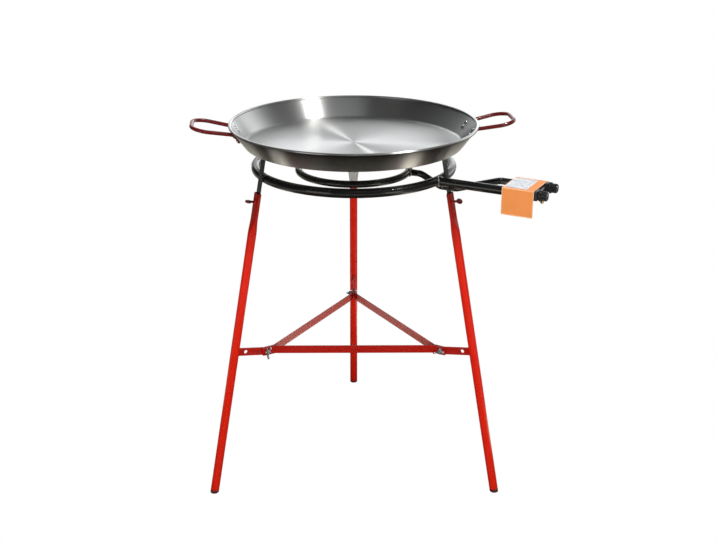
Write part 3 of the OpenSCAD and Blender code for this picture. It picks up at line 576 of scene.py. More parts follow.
def plate(outline, holes, thickness, edge):
    """A flat plate in the XY plane with holes and rounded edges."""
    curve = bpy.data.curves.new("blank", "CURVE")
    curve.dimensions = "2D"
    curve.fill_mode = "BOTH"
    curve.extrude = thickness / 2 - edge
    curve.bevel_depth = edge
    curve.bevel_resolution = 2
    curve.offset = -edge
    for points in [outline, *[hole[::-1] for hole in holes]]:
        spline = curve.splines.new("POLY")
        spline.points.add(len(points) - 1)
        for point, (x, y) in zip(spline.points, points):
            point.co = (x, y, 0, 1)
        spline.use_cyclic_u = True
    mesh = evaluated(placed(curve))
    bpy.data.curves.remove(curve)
    return closed_up(opened(mesh))


def cut_across(bm, ahead, distances):
    """Cuts every face that crosses one of these distances along a direction."""
    for distance in distances:
        geometry = bm.verts[:] + bm.edges[:] + bm.faces[:]
        bmesh.ops.bisect_plane(bm, geom=geometry, plane_co=Vector(ahead) * distance, plane_no=ahead)


def bent(blank, route, place, cuts=()):
    """Bends a flat blank, X along its length, over a route; place turns (along, across, up) into a point."""
    bm = opened(blank)
    steps = 8
    stations = [a + (b - a) * k / steps for a, b in route.bends for k in range(steps + 1)]
    cut_across(bm, (1, 0, 0), stations + list(cuts))
    for vert in bm.verts:
        point, ahead = route.at(vert.co.x)
        point = point + Vector((-ahead.y, ahead.x)) * vert.co.z
        vert.co = place(point.x, point.y, vert.co.y)
    bmesh.ops.recalc_face_normals(bm, faces=bm.faces)
    return mesh_of(bm)


def merged_copy(node, flat_faces=False):
    """A copy of a node's mesh with its loose triangles joined, or made one face where they lie flat."""
    bm = bmesh.new()
    bm.from_mesh(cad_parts[node].data)
    bmesh.ops.remove_doubles(bm, verts=bm.verts, dist=CAD_MERGE)
    if flat_faces:
        bmesh.ops.dissolve_limit(bm, angle_limit=radians(0.5), verts=bm.verts, edges=bm.edges)
    return mesh_of(bm)


def polyline(points):
    """A mesh of edges through the points."""
    mesh = bpy.data.meshes.new("line")
    mesh.from_pydata([tuple(p) for p in points], [(i, i + 1) for i in range(len(points) - 1)], [])
    return mesh


def mark(mesh, name, value_of):
    """Gives each point of a mesh a number that its material reads."""
    layer = mesh.attributes.new(name, "FLOAT", "POINT")
    for vert, item in zip(mesh.vertices, layer.data):
        item.value = value_of(vert.co)


def finished(name, mesh, look, body, nodes=(), sharp=35):
    """Makes a mesh a piece of the object: shaded, coloured, riding on its body."""
    mesh.name = name
    mesh.shade_smooth()
    mesh.set_sharp_from_angle(angle=radians(sharp))
    mesh.materials.clear()
    mesh.materials.append(material_of(look))
    obj = placed(mesh, name)
    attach(obj, body)
    if nodes:
        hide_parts(*nodes)
    return obj


# Node trees

FLOAT, INT, VECTOR = "NodeSocketFloat", "NodeSocketInt", "NodeSocketVector"
COLOUR, MATERIAL, GEOMETRY = "NodeSocketColor", "NodeSocketMaterial", "NodeSocketGeometry"
TREES = {}


class Graph:
    """A node tree being wired."""

    def __init__(self, tree):
        self.tree = tree

    def fill(self, socket, value):
        """Sets a socket, or links it where the value comes from another node."""
        if isinstance(value, bpy.types.NodeSocket):
            self.tree.links.new(value, socket)
        else:
            socket.default_value = value

    def add(self, kind, inputs=None, **settings):
        node = self.tree.nodes.new(kind)
        for key, value in settings.items():
            setattr(node, key, value)
        for key, value in (inputs or {}).items():
            self.fill(node.inputs[key], value)
        return node

    def put_out(self, out, **values):
        for label, value in values.items():
            self.tree.links.new(value, out[label])

    def math(self, operation, a, b=0.0):
        return self.add("ShaderNodeMath", {0: a, 1: b}, operation=operation).outputs[0]

    def times(self, a, b):
        return self.math("MULTIPLY", a, b)

    def ease(self, value, low, high, least=0.0, most=1.0):
        """Goes smoothly from least to most while the value goes from low to high."""
        limits = {0: value, 1: low, 2: high, 3: least, 4: most}
        return self.add("ShaderNodeMapRange", limits, interpolation_type="SMOOTHSTEP").outputs[0]

    def axes(self, vector):
        return self.add("ShaderNodeSeparateXYZ", {0: vector}).outputs

    def noise(self, vector, scale, detail):
        inputs = {"Vector": vector, "Scale": scale, "Detail": detail}
        return self.add("ShaderNodeTexNoise", inputs).outputs[0]


def new_group(name, kind, inputs, outputs):
    """A node group with named sockets, its graph, its input node and its output node."""
    tree = bpy.data.node_groups.new(name, kind)
    for label, socket in inputs:
        tree.interface.new_socket(label, in_out="INPUT", socket_type=socket)
    for label, socket in outputs:
        tree.interface.new_socket(label, in_out="OUTPUT", socket_type=socket)
    graph = Graph(tree)
    return tree, graph, graph.add("NodeGroupInput").outputs, graph.add("NodeGroupOutput").inputs


def tree_of(make):
    """A node tree, made on its first use."""
    name = make.__name__
    if name not in TREES:
        TREES[name] = make()
    return TREES[name]


def geometry_group(name, inputs):
    inputs = [("Shape", GEOMETRY), *inputs, ("Material", MATERIAL)]
    return new_group(name, "GeometryNodeTree", inputs, [("Shape", GEOMETRY)])


def end_geometry(graph, shape, given, out):
    """Ends a geometry tree: instances made real, shaded smooth, with its material."""
    real = graph.add("GeometryNodeRealizeInstances", {0: shape}).outputs[0]
    smooth = graph.add("GeometryNodeSetShadeSmooth", {0: real}).outputs[0]
    painted = graph.add("GeometryNodeSetMaterial", {"Geometry": smooth, "Material": given["Material"]})
    graph.put_out(out, Shape=painted.outputs[0])


def weld_bead_tree():
    """A row of overlapping drops along a line of edges."""
    sizes = [("Bead", FLOAT), ("Spacing", FLOAT), ("Seed", INT)]
    tree, graph, given, out = geometry_group("weld_bead", sizes)
    line = graph.add("GeometryNodeMeshToCurve", {"Mesh": given["Shape"]}).outputs[0]
    row = graph.add("GeometryNodeResampleCurve", {"Curve": line, "Length": given["Spacing"]}, mode="LENGTH")
    drop = graph.add("GeometryNodeMeshIcoSphere", {"Radius": given["Bead"], "Subdivisions": 2})
    least, most = (0.8, 0.8, 0.8), (1.15, 1.15, 1.15)
    size = graph.add(
        "FunctionNodeRandomValue", {0: least, 1: most, "Seed": given["Seed"]}, data_type="FLOAT_VECTOR"
    )
    drops = graph.add(
        "GeometryNodeInstanceOnPoints",
        {"Points": row.outputs[0], "Instance": drop.outputs[0], "Scale": size.outputs[0]},
    )
    end_geometry(graph, drops.outputs[0], given, out)
    return tree


def rivet_head_tree():
    """A domed head on each point, facing along the point's aim."""
    tree, graph, given, out = geometry_group("rivet_heads", [("Radius", FLOAT), ("Height", FLOAT)])
    ball = graph.add("GeometryNodeMeshUVSphere", {"Segments": 28, "Rings": 16, "Radius": 1.0}).outputs[0]
    height = graph.axes(graph.add("GeometryNodeInputPosition").outputs[0])[2]
    below = graph.add("FunctionNodeCompare", {0: height, 1: -0.25}, operation="LESS_THAN").outputs[0]
    dome = graph.add("GeometryNodeDeleteGeometry", {"Geometry": ball, "Selection": below}).outputs[0]
    size = graph.add("ShaderNodeCombineXYZ", {0: given["Radius"], 1: given["Radius"], 2: given["Height"]})
    head = graph.add("GeometryNodeTransform", {"Geometry": dome, "Scale": size.outputs[0]})
    aim = graph.add("GeometryNodeInputNamedAttribute", {"Name": "aim"}, data_type="FLOAT_VECTOR")
    facing = graph.add("FunctionNodeAlignRotationToVector", {"Vector": aim.outputs[0]}, axis="Z")
    heads = graph.add(
        "GeometryNodeInstanceOnPoints",
        {"Points": given["Shape"], "Instance": head.outputs[0], "Rotation": facing.outputs[0]},
    )
    end_geometry(graph, heads.outputs[0], given, out)
    return tree


def thread_tree():
    """A screw thread's ridge about Z."""
    sizes = [("Radius", FLOAT), ("Ridge", FLOAT), ("Turns", FLOAT), ("Height", FLOAT)]
    tree, graph, given, out = geometry_group("screw_thread", sizes)
    line = graph.add(
        "GeometryNodeCurveSpiral",
        {
            "Resolution": 24, "Rotations": given["Turns"], "Start Radius": given["Radius"],
            "End Radius": given["Radius"], "Height": given["Height"],
        },
    )
    ridge = graph.add("GeometryNodeCurvePrimitiveCircle", {"Resolution": 5, "Radius": given["Ridge"]})
    thread = graph.add(
        "GeometryNodeCurveToMesh",
        {"Curve": line.outputs[0], "Profile Curve": ridge.outputs[0], "Fill Caps": True},
    )
    end_geometry(graph, thread.outputs[0], given, out)
    return tree


def rib_ring_tree():
    """Round ribs set in a ring about Z."""
    sizes = [("Count", INT), ("Radius", FLOAT), ("Rib", FLOAT), ("Length", FLOAT), ("Middle", FLOAT)]
    tree, graph, given, out = geometry_group("rib_ring", sizes)
    ring = graph.add("GeometryNodeMeshCircle", {"Vertices": given["Count"], "Radius": given["Radius"]})
    rib = graph.add(
        "GeometryNodeMeshCylinder",
        {"Vertices": 14, "Radius": given["Rib"], "Depth": given["Length"]},
    )
    ribs = graph.add("GeometryNodeInstanceOnPoints", {"Points": ring.outputs[0], "Instance": rib.outputs[0]})
    lift = graph.add("ShaderNodeCombineXYZ", {2: given["Middle"]})
    raised = graph.add("GeometryNodeTransform", {"Geometry": ribs.outputs[0], "Translation": lift.outputs[0]})
    end_geometry(graph, raised.outputs[0], given, out)
    return tree


def grown(make, values, source=None, matrix=Matrix()):
    """Runs a geometry tree on a source mesh and returns the result as a plain mesh."""
    tree = tree_of(make)
    obj = placed(source or bpy.data.meshes.new("start"))
    modifier = obj.modifiers.new(tree.name, "NODES")
    modifier.node_group = tree
    for item in tree.interface.items_tree:
        if item.in_out == "INPUT" and item.name in values:
            modifier[item.identifier] = values[item.name]
    mesh = evaluated(obj)
    mesh.transform(matrix)
    return mesh


# Shared surface effects

def enamel_skin_group():
    """Sprayed enamel: fine orange peel, cloudy tone and patches that are a little duller."""
    inputs = [
        ("Vector", VECTOR), ("Colour", COLOUR), ("Peel Scale", FLOAT), ("Tone", FLOAT), ("Dullness", FLOAT)
    ]
    outputs = [("Colour", COLOUR), ("Roughness", FLOAT), ("Height", FLOAT)]
    tree, graph, given, out = new_group("enamel_skin", "ShaderNodeTree", inputs, outputs)
    peel = graph.noise(given["Vector"], given["Peel Scale"], 2.0)
    cloud = graph.noise(given["Vector"], 16.0, 4.0)
    speck = graph.noise(given["Vector"], 260.0, 3.0)
    lift = graph.math("SUBTRACT", cloud, 0.5)
    shade = graph.math("ADD", graph.times(lift, given["Tone"]), 1.0)
    tint = graph.add("ShaderNodeVectorMath", {0: given["Colour"], "Scale": shade}, operation="SCALE")
    dull = graph.times(graph.math("ADD", cloud, speck), given["Dullness"])
    graph.put_out(out, Colour=tint.outputs[0], Roughness=dull, Height=peel)
    return tree


def turned_grain_group():
    """Fine lines round the Z axis, as a lathe or a polishing wheel leaves them."""
    inputs = [("Vector", VECTOR), ("Fineness", FLOAT), ("Drift", FLOAT)]
    outputs = [("Streak", FLOAT), ("Patch", FLOAT)]
    tree, graph, given, out = new_group("turned_grain", "ShaderNodeTree", inputs, outputs)
    axes = graph.axes(given["Vector"])
    level = graph.add("ShaderNodeCombineXYZ", {0: axes[0], 1: axes[1]})
    radius = graph.add("ShaderNodeVectorMath", {0: level.outputs[0]}, operation="LENGTH").outputs["Value"]
    lines = graph.add(
        "ShaderNodeCombineXYZ",
        {
            0: graph.times(radius, given["Fineness"]),
            1: graph.times(axes[2], given["Fineness"]),
            2: graph.times(graph.math("ARCTAN2", axes[1], axes[0]), given["Drift"]),
        },
    )
    streak = graph.noise(lines.outputs[0], 1.0, 4.0)
    patch = graph.noise(given["Vector"], 9.0, 3.0)
    graph.put_out(out, Streak=streak, Patch=patch)
    return tree


def handling_marks_group():
    """Sparse scuffs and smudges from handling."""
    inputs = [("Vector", VECTOR), ("Scale", FLOAT)]
    tree, graph, given, out = new_group("handling_marks", "ShaderNodeTree", inputs, [("Mask", FLOAT)])
    fog = graph.noise(given["Vector"], given["Scale"], 6.0)
    scratch = graph.add("ShaderNodeTexVoronoi", {"Vector": given["Vector"], "Scale": given["Scale"]})
    rise = graph.add("ShaderNodeMapRange", {0: fog, 1: 0.52, 2: 0.78}).outputs[0]
    graph.put_out(out, Mask=graph.times(rise, scratch.outputs["Distance"]))
    return tree


# Materials

MATERIALS = {}


class Finish:
    """A material being built round one Principled shader."""

    def __init__(self, name, **constants):
        self.material = bpy.data.materials.new(name)
        self.material.use_nodes = True
        tree = self.material.node_tree
        tree.nodes.clear()
        self.graph = Graph(tree)
        self.shader = self.graph.add("ShaderNodeBsdfPrincipled")
        self.output = self.graph.add("ShaderNodeOutputMaterial")
        tree.links.new(self.shader.outputs[0], self.output.inputs["Surface"])
        for key, value in constants.items():
            self.shader.inputs[key.replace("_", " ")].default_value = value
        self.object_coords = self.graph.add("ShaderNodeTexCoord").outputs["Object"]

    def about(self, point, turn=0.0):
        """Object coordinates measured from a point, turned about Z."""
        mapping = self.graph.add(
            "ShaderNodeMapping",
            {"Vector": self.object_coords, "Location": point, "Rotation": (0, 0, turn)},
            vector_type="TEXTURE",
        )
        return mapping.outputs[0]

    def effect(self, make, **inputs):
        node = self.graph.add("ShaderNodeGroup", node_tree=tree_of(make))
        for key, value in inputs.items():
            self.graph.fill(node.inputs[key.replace("_", " ")], value)
        return node.outputs

    def noise(self, scale, detail):
        return self.graph.noise(self.object_coords, scale, detail)

    def attribute(self, name):
        """The number that mark() gave each point of the piece."""
        return self.graph.add("ShaderNodeAttribute", attribute_name=name).outputs["Fac"]

    def ramp(self, value, low, high):
        """A value in 0..1 as a value from low to high."""
        return self.graph.add("ShaderNodeMapRange", {0: value, 3: low, 4: high}).outputs[0]

    def blend(self, factor, a, b):
        node = self.graph.add("ShaderNodeMix", {0: factor, 6: a, 7: b}, data_type="RGBA")
        return node.outputs[2]

    def drive(self, socket, value):
        self.graph.tree.links.new(value, self.shader.inputs[socket])

    def bump(self, height, distance, strength=1.0):
        inputs = {"Height": height, "Distance": distance, "Strength": strength}
        self.drive("Normal", self.graph.add("ShaderNodeBump", inputs).outputs[0])


def rgba(value, share=1.0):
    """A colour for a node, dimmed to a share of itself."""
    return (*[c * share for c in value], 1.0)


def enamel(name, tint, peel=0.00002, dullness=0.24, coat=0.6, tone=0.16, scale=700.0, gloss=0.5, over=()):
    """Sprayed enamel; each pair in over lays a colour where that attribute of the piece is 1."""
    finish = Finish(name, Coat_Weight=coat, Coat_Roughness=0.07, Specular_IOR_Level=gloss)
    film = finish.effect(
        enamel_skin_group, Vector=finish.object_coords, Colour=rgba(tint), Peel_Scale=scale, Tone=tone,
        Dullness=dullness,
    )
    shown = film["Colour"]
    for attribute, cover in over:
        shown = finish.blend(finish.attribute(attribute), shown, cover)
    finish.drive("Base Color", shown)
    finish.drive("Roughness", film["Roughness"])
    finish.bump(film["Height"], peel)
    return finish.material


def pan_steel(colours):
    """Steel brushed in rings and smudged by hands, with a painted shadow in the groove under the rim."""
    finish = Finish("pan_brushed_steel", Metallic=1.0, Anisotropic=0.95, Anisotropic_Rotation=0.25)
    centre = finish.about((AXIS.x, AXIS.y, PAN_LOW.z))
    grain = finish.effect(turned_grain_group, Vector=centre, Fineness=1500.0, Drift=2.0)
    marks = finish.effect(handling_marks_group, Vector=centre, Scale=24.0)
    lines = finish.blend(grain["Streak"], rgba(colours.steel, 0.80), rgba(colours.steel))
    smoky = finish.blend(marks["Mask"], lines, rgba(colours.steel, 0.9))
    # Painted shade: the steel is darkened almost to black in the groove under the rolled bead.
    dark = finish.blend(finish.attribute("groove_shade"), smoky, rgba(colours.steel, 0.08))
    finish.drive("Base Color", dark)
    finish.drive("Roughness", finish.ramp(grain["Patch"], 0.28, 0.35))
    tangent = finish.graph.add("ShaderNodeTangent", direction_type="RADIAL", axis="Z")
    finish.drive("Tangent", tangent.outputs[0])
    finish.bump(grain["Streak"], 0.00002, 0.6)
    return finish.material


def plain_metal(name, tint, low, high, scale=40.0, bump=0.00003):
    """Bright metal with clouded tone and small scuffs."""
    finish = Finish(name, Metallic=1.0)
    marks = finish.effect(handling_marks_group, Vector=finish.object_coords, Scale=scale * 4)
    cloud = finish.noise(scale, 4.0)
    toned = finish.blend(cloud, rgba(tint, 0.78), rgba(tint))
    finish.drive("Base Color", finish.blend(marks["Mask"], toned, rgba(tint, 0.6)))
    finish.drive("Roughness", finish.ramp(cloud, low, high))
    finish.bump(cloud, bump)
    return finish.material


def moulded_plastic(name, tint, low=0.28, high=0.5, gloss=0.5):
    """Plastic with a fine moulded grain and paler scuffs."""
    finish = Finish(name, Specular_IOR_Level=gloss)
    grain = finish.noise(1500.0, 2.0)
    marks = finish.effect(handling_marks_group, Vector=finish.object_coords, Scale=120.0)
    scuffed = rgba([c * 1.8 + 0.01 for c in tint])
    finish.drive("Base Color", finish.blend(marks["Mask"], rgba(tint), scuffed))
    finish.drive("Roughness", finish.ramp(grain, low, high))
    finish.bump(grain, 0.00002)
    return finish.material


def printed_card(colours):
    """Printed card, rubbed to its pale core along folds and edges."""
    finish = Finish("orange_card", Specular_IOR_Level=0.25)
    fibre = finish.noise(900.0, 5.0)
    cloud = finish.noise(30.0, 3.0)
    ink = finish.blend(cloud, rgba(colours.card, 0.88), rgba(colours.card))
    rubbed = finish.graph.times(finish.attribute("worn"), finish.ramp(fibre, 0.35, 1.15))
    finish.drive("Base Color", finish.blend(rubbed, ink, rgba(colours.card_core)))
    finish.drive("Roughness", finish.ramp(fibre, 0.5, 0.75))
    finish.bump(fibre, 0.00005)
    return finish.material


def ruled_label(colours, place, turn):
    """Bare paper with plain short bars in rows."""
    finish = Finish("white_label", Specular_IOR_Level=0.2)
    local = finish.about(place, turn)
    rows = finish.graph.add(
        "ShaderNodeTexBrick",
        {
            "Vector": local, "Color1": rgba(colours.label_ink), "Color2": rgba(colours.label),
            "Mortar": rgba(colours.label), "Scale": 1.0, "Mortar Size": 0.0011, "Mortar Smooth": 0.1,
            "Bias": -0.1, "Brick Width": 0.012, "Row Height": 0.0042,
        },
        offset=0.37, squash=1.6, squash_frequency=3,
    )
    fibre = finish.graph.noise(local, 1100.0, 4.0)
    pale = finish.blend(finish.ramp(fibre, 0.05, 0.35), rows.outputs[0], rgba(colours.label))
    finish.drive("Base Color", pale)
    finish.drive("Roughness", finish.ramp(fibre, 0.55, 0.75))
    finish.bump(fibre, 0.00003)
    return finish.material


def material_of(name):
    """A finish by name, made on its first use."""
    colours = bpy.context.scene.burner_colours
    gas = Gas(bpy.context.scene.burner_gas)
    brace = {"peel": 0.00001, "dullness": 0.3, "coat": 0.02, "gloss": 0.2}
    makers = {
        "pan_steel": lambda: pan_steel(colours),
        "leg_red": lambda: enamel("red_enamel", colours.leg_red, dullness=0.3, coat=0.03, gloss=0.12),
        # The legs' enamel: painted shade is a darker copy of the red up the tops; the rear leg also gets a
        # grey patch.
        "leg_enamel": lambda: enamel(
            "leg_enamel", colours.leg_red, peel=0.00001, dullness=0.3, coat=0.03, gloss=0.12,
            over=(("pan_shadow", rgba(colours.leg_red, 0.36)), ("bare", rgba(colours.bare))),
        ),
        "brace_red": lambda: enamel("brace_enamel", colours.brace_red, **brace),
        # Painted sheen: paler red laid on the side bars and the rear ear away from the bolts.
        "brace_sheen": lambda: enamel(
            "sheen_painted_enamel", colours.brace_red, over=(("sheened", rgba(colours.brace_sheen)),), **brace
        ),
        "handle_red": lambda: enamel(
            "dark_red_enamel", colours.handle_red, dullness=0.22, coat=0.12, gloss=0.3
        ),
        "screw_red": lambda: enamel("dark_red_paint", colours.screw_red, dullness=0.34, coat=0.3),
        "burner_black": lambda: enamel(
            "black_enamel", colours.black, peel=0.00006, coat=0.35, tone=0.3, scale=420.0, gloss=0.2
        ),
        "tap_black": lambda: enamel(
            "black_coating", colours.tap, peel=0.00006, dullness=0.42, coat=0.1, gloss=0.2
        ),
        "knob_black": lambda: moulded_plastic("black_plastic", colours.knob, 0.2, 0.36, 0.25),
        "knob_mark": lambda: moulded_plastic("white_paint", colours.mark, 0.4, 0.6),
        "brass": lambda: plain_metal("turned_brass", colours.brass, 0.18, 0.36),
        "zinc": lambda: plain_metal("zinc_plate", colours.zinc, 0.22, 0.42, 90.0),
        "weld_steel": lambda: plain_metal("weld_steel", colours.weld, 0.2, 0.4, 160.0, 0.0003),
        "rivet_steel": lambda: plain_metal("bright_rivets", colours.rivet, 0.12, 0.28, 120.0),
        "card_orange": lambda: printed_card(colours),
        "label_white": lambda: ruled_label(colours, gas.feed(0).translation, gas.turn),
        "foot_dark": lambda: moulded_plastic("dark_caps", colours.foot, 0.35, 0.6),
    }
    if name not in MATERIALS:
        MATERIALS[name] = makers[name]()
    return MATERIALS[name]


# Operators, one for each piece or group of like pieces

class BURNER_OT_pan_bowl(bpy.types.Operator):
    """Builds the pan's bowl with its rolled rim"""

    bl_idname = "burner.pan_bowl"
    bl_label = "Pan Bowl"

    def execute(self, context):
        s = context.scene.burner_pan
        pan = Pan(s)
        steps = 10
        level, sloping = -pi / 2, pan.wall - pi / 2
        outer_corner = arc(pan.corner_out, pan.corner_x, pan.corner_out, level, sloping, steps)
        inner_corner = arc(s.corner_r, pan.corner_x, pan.corner_out, sloping, level, steps)

        # The bead runs from a groove under its outside, over the top, to the inner wall
        lean = asin(s.sheet / 2 / pan.bead)
        groove = pi + pan.wall + lean
        bead_from, bead_to = groove + radians(10), groove - 2 * lean + 2 * pi - radians(4)
        bead = arc(pan.bead, pan.bead_r, pan.bead_up, bead_from, bead_to, 28)
        tuck = []
        for share, turn in ((1.16, -0.03), (0.86, 0.04)):
            reach = pan.bead * share
            tuck.append((pan.bead_r + reach * cos(groove + turn), pan.bead_up + reach * sin(groove + turn)))
        flat = [pan.corner_x * k / 8 for k in range(8)]
        profile = [(r, 0.0) for r in flat] + outer_corner + tuck + bead
        profile += inner_corner + [(r, s.sheet) for r in flat[::-1]]
        mesh = lathe(profile, s.steps)

        def groove_shade(point):
            """Painted shade: full in the groove under the bead, none on the bead's top and on the wall."""
            out = sqrt(point.x ** 2 + point.y ** 2) - pan.bead_r
            up = point.z - pan.bead_up
            close = 1 - smooth_step(sqrt(out ** 2 + up ** 2) / pan.bead - 1)
            return close * smooth_step((-up * 1.2 + out * 0.6) / pan.bead)

        mark(mesh, "groove_shade", groove_shade)
        mesh.transform(pan.place)
        finished("pan_bowl", mesh, "pan_steel", "pan", ["pan_shell"], sharp=60)
        return {"FINISHED"}


class BURNER_OT_pan_handles(bpy.types.Operator):
    """Builds the two bar loops with their flattened pads"""

    bl_idname = "burner.pan_handles"
    bl_label = "Pan Handles"

    def execute(self, context):
        s = context.scene.burner_pan
        pan = Pan(s)
        rings = self.half_loop(s, pan)
        for name, end in HANDLES.items():
            bm = bmesh.new()
            for flip in (1, -1):
                loops = wrap(bm, [[(p.x, p.y * flip, p.z) for p in ring] for ring in rings])
                bm.faces.new(loops[0])
            mesh = closed_up(bm, LOOP_MERGE)
            mesh.transform(pan.place @ turned(end, "Z"))
            nodes = [f"pan_handle_{name}"]
            finished(f"handle_loop_{name}", mesh, "handle_red", "pan", nodes, sharp=55)
        return {"FINISHED"}

    def half_loop(self, s, pan):
        """Rings along one half of a loop, from its pad's end to the middle of its tip."""
        wall = pan.on_wall(1)
        loop = shifted(pan.grip_x, 0, pan.grip_z) @ turned(-s.loop_rise, "Y")
        path = self.pad_path(s, wall) + self.bend_path(s, pan, wall, loop) + self.bar_path(s, pan, loop)
        rings = []
        across = wall.to_3x3() @ Vector((1, 0, 0))
        for i, (point, wide, thick, square) in enumerate(path):
            ahead = (path[min(i + 1, len(path) - 1)][0] - path[max(i - 1, 0)][0]).normalized()
            across = (across - ahead * across.dot(ahead)).normalized()
            up = ahead.cross(across)
            rings.append([point + across * x + up * y for x, y in oval(wide, thick, square, 28)])
        for point in rings[-1]:
            point.y = 0.0
        return rings

    def pad_path(self, s, wall):
        """The pad's rounded end; each row is a point, half width, half thickness and squareness."""
        steps, blunt, edge = 6, 0.0004, 0.35
        path = []
        for k in range(steps + 1):
            a = pi / 2 * k / steps
            y = s.seat - s.pad_l + s.pad_w / 2 * (1 - cos(a))
            wide = max(s.pad_w / 2 * sin(a), blunt)
            thick = s.pad_t / 2 * (edge + (1 - edge) * sin(a))
            path.append((wall @ Vector((0, y, FIT + s.pad_t / 2)), wide, thick, 5.0))
        return path

    def bend_path(self, s, pan, wall, loop):
        """From the flat pad on the wall round to the straight bar."""
        drops = (s.pad_bend, s.bend_corner)
        start, corner = [wall @ Vector((0, s.seat - drop, FIT + s.pad_t / 2)) for drop in drops]
        out = (s.bend_run + s.bend_back) * tan(pan.flare)
        goal = loop @ Vector((s.bend_run, pan.grip_y + out, 0))
        path = []
        steps = 10
        for k in range(steps + 1):
            t = k / steps
            point = start * (1 - t) ** 2 + corner * 2 * t * (1 - t) + goal * t * t
            ease = smooth_step(t)
            wide, thick = [flat / 2 + (s.rod_d - flat) / 2 * ease for flat in (s.pad_w, s.pad_t)]
            path.append((point, wide, thick, 5 - 3 * ease))
        return path

    def bar_path(self, s, pan, loop):
        """Round the loop's corner to the middle of its tip."""
        half = s.rod_d / 2
        bend_r = s.loop_corner - half
        turn_y = pan.tip_y - bend_r * tan(pi / 4 + pan.flare / 2)
        bend = arc(bend_r, turn_y, pan.grip_l - bend_r, -pan.flare, pi / 2, 14)
        path = [(loop @ Vector((x, y, 0)), half, half, 2.0) for y, x in bend]
        path.append((loop @ Vector((pan.grip_l, 0, 0)), half, half, 2.0))
        return path


class BURNER_OT_handle_rivets(bpy.types.Operator):
    """Sets domed rivet heads inside the pan and on the handle pads"""

    bl_idname = "burner.handle_rivets"
    bl_label = "Handle Rivets"

    def execute(self, context):
        s = context.scene.burner_pan
        pan = Pan(s)
        inner_gap = (s.rivet_d / 2) ** 2 / 2 / s.base_r
        values = {"Radius": s.rivet_d / 2, "Height": s.rivet_h, "Material": material_of("rivet_steel")}
        for name, end in HANDLES.items():
            points, aims = [], []
            for side in (1, -1):
                place = pan.place @ turned(end, "Z") @ pan.on_wall(side)
                for n in (0, 1):
                    y = s.seat - s.rivet_first - n * s.rivet_pitch
                    for depth, facing in ((s.pad_t, 1), (-s.sheet - inner_gap, -1)):
                        points.append(place @ Vector((0, y, depth)))
                        aims.append(place.to_3x3() @ Vector((0, 0, facing)))
            source = bpy.data.meshes.new("rivet_points")
            source.from_pydata([tuple(p) for p in points], [], [])
            aim = source.attributes.new("aim", "FLOAT_VECTOR", "POINT")
            for item, value in zip(aim.data, aims):
                item.vector = value
            mesh = grown(rivet_head_tree, values, source)
            finished(f"rivet_heads_{name}", mesh, "rivet_steel", "pan", [f"pan_rivets_{name}"])
        return {"FINISHED"}


class BURNER_OT_burner_rings(bpy.types.Operator):
    """Finishes the two burner rings and their feed pipes"""

    bl_idname = "burner.burner_rings"
    bl_label = "Burner Rings"

    def execute(self, context):
        names = {
            "outer_ring": "ring_tube_outer", "inner_ring": "ring_tube_inner",
            "outer_feed_pipe": "feed_tube_outer", "inner_feed_pipe": "feed_tube_inner",
        }
        for node, name in names.items():
            finished(name, merged_copy(node), "burner_black", "stand", [node])
        return {"FINISHED"}


class BURNER_OT_pan_supports(bpy.types.Operator):
    """Bends the three flat strips that carry the pan"""

    bl_idname = "burner.pan_supports"
    bl_label = "Pan Supports"

    def execute(self, context):
        s = context.scene.burner_stand
        stand = Stand(s)
        low = s.top_gap + s.engage
        route = Route([
            (stand.strip_r + low * sin(s.lean), stand.strip_z - low * cos(s.lean)),
            (stand.bend_r, stand.bend_z),
            (stand.bend_r - s.tab_l, stand.bend_z),
        ], s.strip_bend)
        outline = oblong(0, route.length, -s.strip_w / 2, s.strip_w / 2, s.strip_corner)
        for side, azimuth in SIDES.items():
            turn = about_burner(azimuth)
            blank = plate(outline, [], s.strip_t, EDGES["strip"])
            mesh = bent(blank, route, lambda r, z, across: turn @ Vector((r, across, z)))
            nodes = [f"pan_support_{side}"]
            finished(f"support_strip_{side}", mesh, "burner_black", "stand", nodes)
        return {"FINISHED"}


